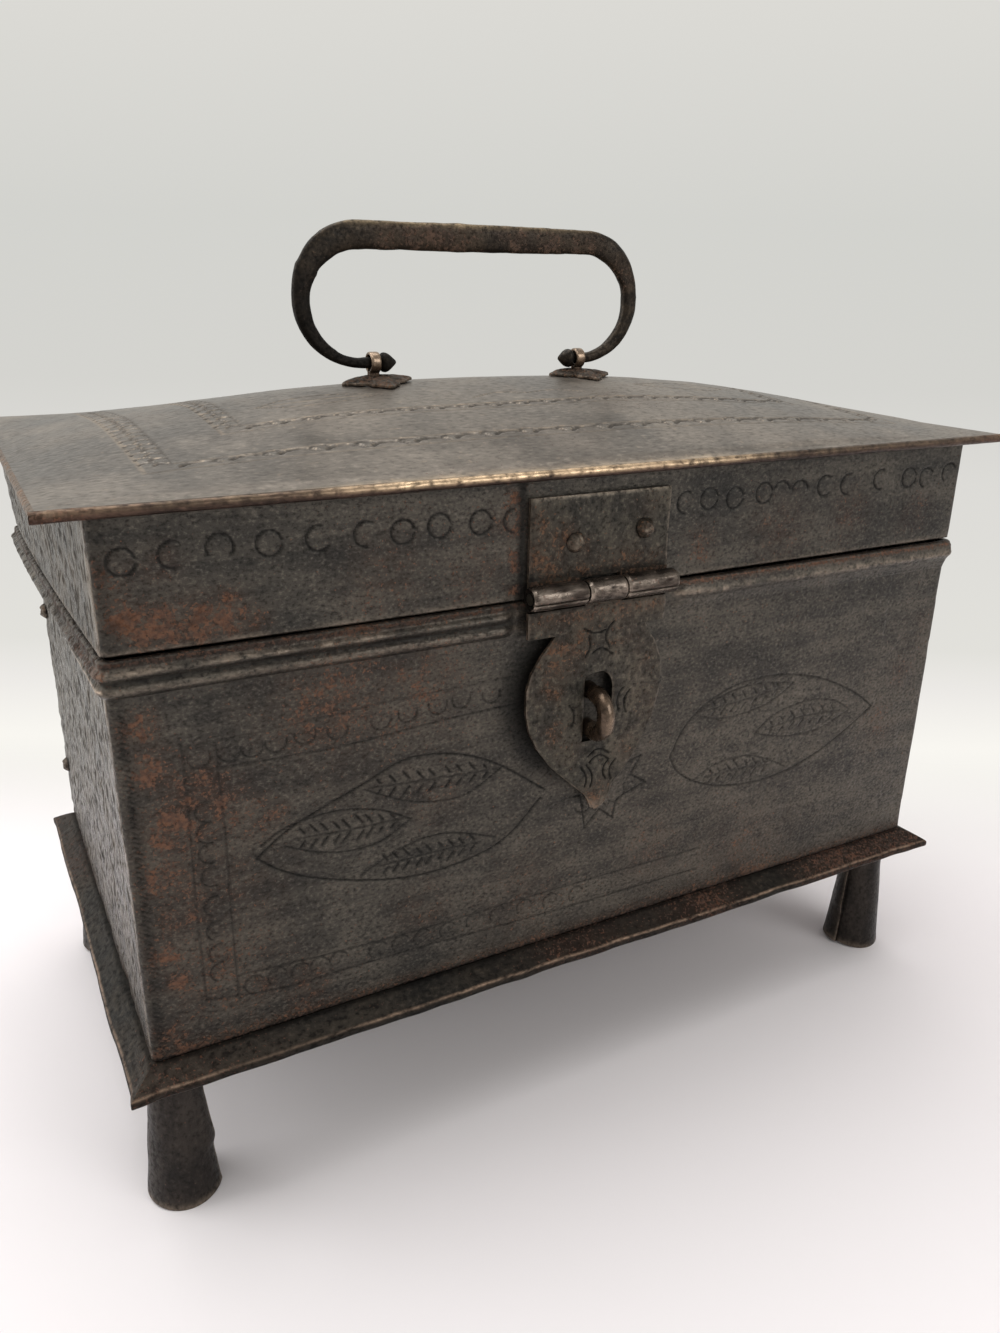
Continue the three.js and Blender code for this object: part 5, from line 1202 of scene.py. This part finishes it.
def make_eye(side, x):
    """A strap folded round the bar: a rounded strip 1.1 mm thick and 3.4 wide, once round the bar at
    2.75 mm and down through the lid as two legs that spread beneath it."""
    seat = PLATE_TOP + float(crown_at(BAIL_X - EYE_SPAN, 0))
    radius, leg = 2.75, 0.75
    start = math.asin(leg / radius)
    turn = -np.pi / 2 + start + (2 * np.pi - 2 * start) * np.linspace(0, 1, 40)
    under = seat - SHEET - 0.3 - 0.9
    foot = np.linspace(0, 1, 5)[:, None]
    right = np.array([leg + 6, under - 0.8]) + foot * np.array([-5.6, 0.7])
    down = np.array([[leg + 0.1, under + 0.3], [leg, under + 1.2], [leg, BAIL_Z - 3.6]])
    around = np.stack([radius * np.cos(turn), BAIL_Z + radius * np.sin(turn)], 1)
    run = np.concatenate([right, down, around, down[::-1] * (-1, 1), right[::-1] * (-1, 1)])

    def lift(s, angle):
        return 0.06 * noise2(s, 5 * np.cos(angle), 2.0, 210 + int(x)) - 0.05
    grid = sweep(surface(x, run[:, 0], run[:, 1]), 0.55, 1.7, (1, 0, 0), 24, 0.62, lift)
    # The eye's top is lighter, rubbed where the handle turns and a painted highlight; its lower part is
    # darker, painted shade with some rust.
    high = smooth(grid[..., 2], BAIL_Z - 3, BAIL_Z + 2)
    piece = Piece()
    piece.grid(grid, marks_of(0.3 * (1 - high), 0.2 + 0.6 * high, 0.3 * (1 - high)), loop_v=True)
    piece.cap(grid[0], (0, 1, 0)).cap(grid[-1], (0, -1, 0))
    piece.place(f"eye_{side}", "lid", "worn_bar", bronze_wear, (f"handle_eye_{side}",))


def make_rosette(side, hole):
    """A four-pointed washer: at turn t its edge is 11.2 (0.83 + 0.17 cos 4t + 0.05 cos 12t), and lies
    1.2 mm to the right of its hole; it rises by 1.5 (1 - s^1.6) mm to its middle, with a ridge along
    each point, a hammered face and a blunt, wavy edge 1 mm thick."""
    turn = 2 * np.pi * np.arange(160)[:, None] / 160
    s = np.concatenate([np.linspace(0, 0.95, 28), [0.985, 1.0, 1.0, 0.97, 0.5, 0.0]])[None, :]
    upper = np.concatenate([np.ones(28), [0.95, 0.7, 0.1, 0.0, 0.0, 0.0]])[None, :]
    lobe = 0.83 + 0.17 * np.cos(4 * turn) + 0.05 * np.cos(12 * turn)
    lobe *= 1 + 0.02 * noise2(6 * np.cos(turn), 6 * np.sin(turn), 2.4, 220 + int(hole))
    inner, reach, thick = 2.8, 11.2, 1.0
    r = inner + (reach * lobe - inner) * s
    x, y = hole + 1.2 * s + r * np.cos(turn), r * np.sin(turn)
    ridge = (0.22 * np.cos(4 * turn) + 0.16 * np.cos(12 * turn)) * s * (1 - s ** 6)
    hammer = 0.12 * noise2(x, y, 2.2, 221) + 0.05 * noise2(x, y, 0.9, 222)
    curl = 0.22 * smooth(r, 8.2, 11.4) * np.sin(turn * 3 + hole)
    z = (PLATE_TOP + crown_at(x, y) + 0.35 + 1.5 * (1 - s ** 1.6) + curl
         + upper * (thick + (ridge + hammer) * (upper > 0.9) - 0.2))
    rub = 0.5 * bump(s, 0.985, 0.03) * (0.6 + 0.4 * noise2(x, y, 2, 223))
    groove = (0.25 + 0.6 * bump(s, 0.7, 0.08) * (0.5 - 0.5 * np.cos(4 * turn))
              + 0.5 * smooth(-hammer, 0.06, 0.2) * (upper > 0.9))
    piece = Piece()
    piece.grid(surface(x, y, z), marks_of(groove, rub, 0.6), loop_u=True, turn=True)
    piece.place(f"rosette_{side}_worn", "lid", "strap", strap_iron, (f"rosette_{side}",))


# Putting it together

FOOT_PLACES = (("front_left", -FOOT_X, -FOOT_Y, -0.62), ("front_right", FOOT_X, -FOOT_Y, math.pi),
               ("back_left", -FOOT_X, FOOT_Y, 0.0), ("back_right", FOOT_X, FOOT_Y, math.pi))
FLOOR_RIVETS = ((-70, -72.3), (70, -72.3), (-135.3, 0), (135.3, 0), (-70, 72.3), (70, 72.3))


def rivet_list():
    """Every rivet as (name, body, place, outward, head radius, rise, tail radius, grip)."""
    ahead, behind, over = (0, -1, 0), (0, 1, 0), (0, 0, 1)
    rivets = []
    for k, (across, up, rise) in enumerate(((-8.8, 13.8, 1.7), (14.2, 15.8, 2.6))):
        at = (HASP_X + across, -HALF_Y - 1.7, HASP_Z + up)
        rivets.append((f"hasp_rivet_{k + 1}", "lid", at, ahead, 3.0, rise, 2.2, 2.9))
    wall = (2.9, 1.8, 2.2, 2.7)
    for side, sign in (("left", -1), ("right", 1)):
        outward = (sign, 0, 0)
        for level, z in (("low", WALL_FOOT + 23), ("high", WALL_FOOT + 83.2)):
            at = (sign * HALF_X, HALF_Y - 6, z)
            rivets.append((f"body_rivet_{side}_{level}", "box", at, outward, *wall))
        at = (sign * (HALF_X + float(bow_at(HALF_Y - 6))), HALF_Y - 6, LID_FOOT + 20)
        rivets.append((f"lid_rivet_{side}", "lid", at, outward, *wall))
        for part, body, up in (("body", "box", -15), ("lid", "lid", 15)):
            for k, across in enumerate((-8, 8)):
                at = (sign * 78 + across, HALF_Y + 1.7, REAR_Z + up)
                rivets.append((f"hinge_{side}_{part}_rivet_{k + 1}", body, at, behind, 2.3, 1.2, 1.9, 2.9))
    for name, x, y, _ in FOOT_PLACES:
        rivets.append((f"foot_rivet_{name}", "box", (x, y, 53.5), over, 2.9, 1.7, 2.2, 2.7))
    for k, (x, y) in enumerate(FLOOR_RIVETS):
        rivets.append((f"floor_rivet_{k + 1}", "box", (x, y, 55.0), over, 2.3, 1.2, 1.9, 2.7))
    return rivets


make_body_walls()
make_lid_walls()
make_lid_plate()
make_lid_rolls()
make_base()
for name, x, y, seam in FOOT_PLACES:
    make_foot("foot_" + name, x, y, seam)
make_hasp_plate()
make_hasp_leaf()
make_staple()
make_bail()
for side, x in (("left", BAIL_X - EYE_SPAN), ("right", BAIL_X + EYE_SPAN)):
    make_eye(side, x)
    make_rosette(side, x)
for seed, rivet in enumerate(rivet_list()):
    make_rivet(*rivet, seed)

# The nodes that have no piece of their own show their solids in the scene's finishes.
paints = {"wall_sheet": front_iron, "lid_sheet": lid_iron_painted_sheen, "strap": strap_iron, "rivets": strap_iron,
          "handle_bar": bail_iron, "worn_bar": bronze_wear, "feet": foot_iron}
slots = {item["node"]: item["material_slot"] for item in frame["record"]["subparts"]}
for node, item in frame["nodes"].items():
    item.data.materials.clear()
    item.data.materials.append(paints[slots[node]])


# Floor, light and camera

def paper(name, colour, far, near, beyond):
    """White paper: matt, and from near to beyond metres along the sweep it glows with the tones of the list
    far, pairs of a distance and a colour, as seen by the camera and in reflections; these tones are a painted
    falloff of light over the backdrop."""
    material, make, join = graph(name)
    shader = make("BsdfPrincipled", Roughness=0.9)
    shader.inputs["Base Color"].default_value = (*colour, 1)
    along = make("Attribute", attribute_name="along").outputs["Fac"]
    ramp = join(along, make("ValToRGB"), "Fac")
    while len(ramp.color_ramp.elements) < len(far):
        ramp.color_ramp.elements.new(0.5)
    for stop, (place, tone) in zip(ramp.color_ramp.elements, far):
        stop.position, stop.color = place / 2, (*tone, 1)
    even = join(ramp.outputs["Color"], make("Emission", Strength=1.0), "Color")
    share = make("MapRange", interpolation_type="SMOOTHSTEP")
    for key, value in (("From Min", near / 2), ("From Max", beyond / 2)):
        share.inputs[key].default_value = value
    join(along, share, "Value")
    seen, path = make("Math", operation="MAXIMUM"), make("LightPath")
    join(path.outputs["Is Camera Ray"], seen, 0)
    join(path.outputs["Is Glossy Ray"], seen, 1)
    both = make("Math", operation="MULTIPLY")
    join(share.outputs["Result"], both, 0)
    join(seen.outputs[0], both, 1)
    mix = join(both.outputs[0], make("MixShader"), 0)
    join(shader.outputs["BSDF"], mix, 1)
    join(even.outputs["Emission"], mix, 2)
    join(mix.outputs["Shader"], make("OutputMaterial"), "Surface")
    return material


def make_sweep(yaw):
    """The paper on the table and up behind the box: flat to 0.45 m beyond the box's middle, then a
    quarter of a circle of radius 0.6 m, then upright, square to the heading yaw. The attribute
    along is half the distance along it in metres, from the middle."""
    near, flat, radius, height = -2.5, 0.45, 0.6, 3.0
    bend = np.linspace(0, np.pi / 2, 60)[1:]
    q = np.concatenate([np.linspace(near, 0.05, 12), np.linspace(0.06, flat, 40),
                        flat + radius * np.sin(bend), np.full(6, flat + radius)])
    z = np.concatenate([np.zeros(52), radius * (1 - np.cos(bend)), np.linspace(0.8, height, 6)])
    along = near + np.concatenate([[0], np.cumsum(np.hypot(np.diff(q), np.diff(z)))])
    wide = np.linspace(-3, 3, 7)[:, None]
    ahead_x, ahead_y = math.sin(yaw), math.cos(yaw)
    points = surface(q * ahead_x + wide * ahead_y, q * ahead_y - wide * ahead_x, z).reshape(-1, 3)
    n = len(q)
    corner = (np.arange(6)[:, None] * n + np.arange(n - 1)[None, :]).reshape(-1, 1)
    mesh = bpy.data.meshes.new("paper_sweep")
    mesh.from_pydata(points.tolist(), [], (corner + np.array([0, n, n + 1, 1])).tolist())
    half = np.tile(along / 2, 7).astype(np.float32)
    mesh.attributes.new("along", "FLOAT", "POINT").data.foreach_set("value", half)
    mesh.polygons.foreach_set("use_smooth", [True] * len(mesh.polygons))
    # A painted falloff of light: brightest about 0.2 m behind the box's middle, darker up the sweep, a little
    # lighter again high up.
    far = ((0.09, (0.86, 0.84, 0.81)), (0.19, (0.95, 0.93, 0.88)), (0.28, (0.84, 0.82, 0.79)),
           (0.36, (0.76, 0.75, 0.71)), (0.72, (0.72, 0.71, 0.68)), (0.87, (0.66, 0.655, 0.625)),
           (1.1, (0.65, 0.65, 0.62)), (1.35, (0.71, 0.70, 0.665)))
    mesh.materials.append(paper("paper", (0.815, 0.78, 0.785), far, 0.02, 0.17))
    sweep_of_paper = bpy.data.objects.new("paper_sweep", mesh)
    bpy.context.scene.collection.objects.link(sweep_of_paper)


def make_sky(colour, strength):
    """The even light from all round."""
    world = bpy.data.worlds.new("studio")
    bpy.context.scene.world = world
    world.use_nodes = True
    background = world.node_tree.nodes["Background"]
    background.inputs["Color"].default_value = (*colour, 1)
    background.inputs["Strength"].default_value = strength


def lamp(name, at, aim, size, watts):
    """A white, square soft lamp at a place in metres, turned to face aim."""
    data = bpy.data.lights.new(name, "AREA")
    data.shape, data.size, data.energy = "SQUARE", size, watts
    item = bpy.data.objects.new(name, data)
    item.location = at
    item.rotation_euler = (Vector(aim) - Vector(at)).to_track_quat("-Z", "Y").to_euler()
    bpy.context.scene.collection.objects.link(item)


def make_camera(place, yaw, pitch, tilt, focal_pixels):
    """The photo's camera: at place in metres, heading yaw from the y axis to the right, pitch down
    and tilt to the left, all in radians; its focal length is in pixels of a picture of 1333 rows."""
    frame_rows, sensor = 1333, 36.0
    ahead = Vector((math.sin(yaw) * math.cos(pitch), math.cos(yaw) * math.cos(pitch), -math.sin(pitch)))
    level_right = Vector((math.cos(yaw), -math.sin(yaw), 0))
    level_up = level_right.cross(ahead)
    right = math.cos(tilt) * level_right + math.sin(tilt) * level_up
    up = -math.sin(tilt) * level_right + math.cos(tilt) * level_up
    view = bpy.data.cameras.new("photo_view")
    view.sensor_fit, view.sensor_width, view.sensor_height = "VERTICAL", 27.0, sensor
    view.lens = focal_pixels * sensor / frame_rows
    view.clip_start = 0.01
    camera = bpy.data.objects.new("photo_view", view)
    turned = Matrix((right, up, -ahead)).transposed().to_4x4()
    turned.translation = Vector(place)
    camera.matrix_world = turned
    bpy.context.scene.collection.objects.link(camera)
    bpy.context.scene.camera = camera


YAW, PITCH, TILT = math.radians(28.65), math.radians(20.62), math.radians(0.94)
make_sweep(YAW)
make_sky((0.83, 0.815, 0.79), 0.6)
lamp("sky_panel", (-0.2, 0.2, 1.6), (0, 0, 0.15), 1.6, 22)
lamp("left_panel", (-1.5, 0.7, 0.8), (0, 0, 0.12), 1.2, 14)
lamp("front_fill", (0.8, -1.5, 0.9), (0, 0, 0.1), 1.0, 8.5)
bpy.context.scene.view_settings.view_transform = "Standard"
make_camera((-0.16517, -0.30819, 0.24947), YAW, PITCH, TILT, 1029.57)
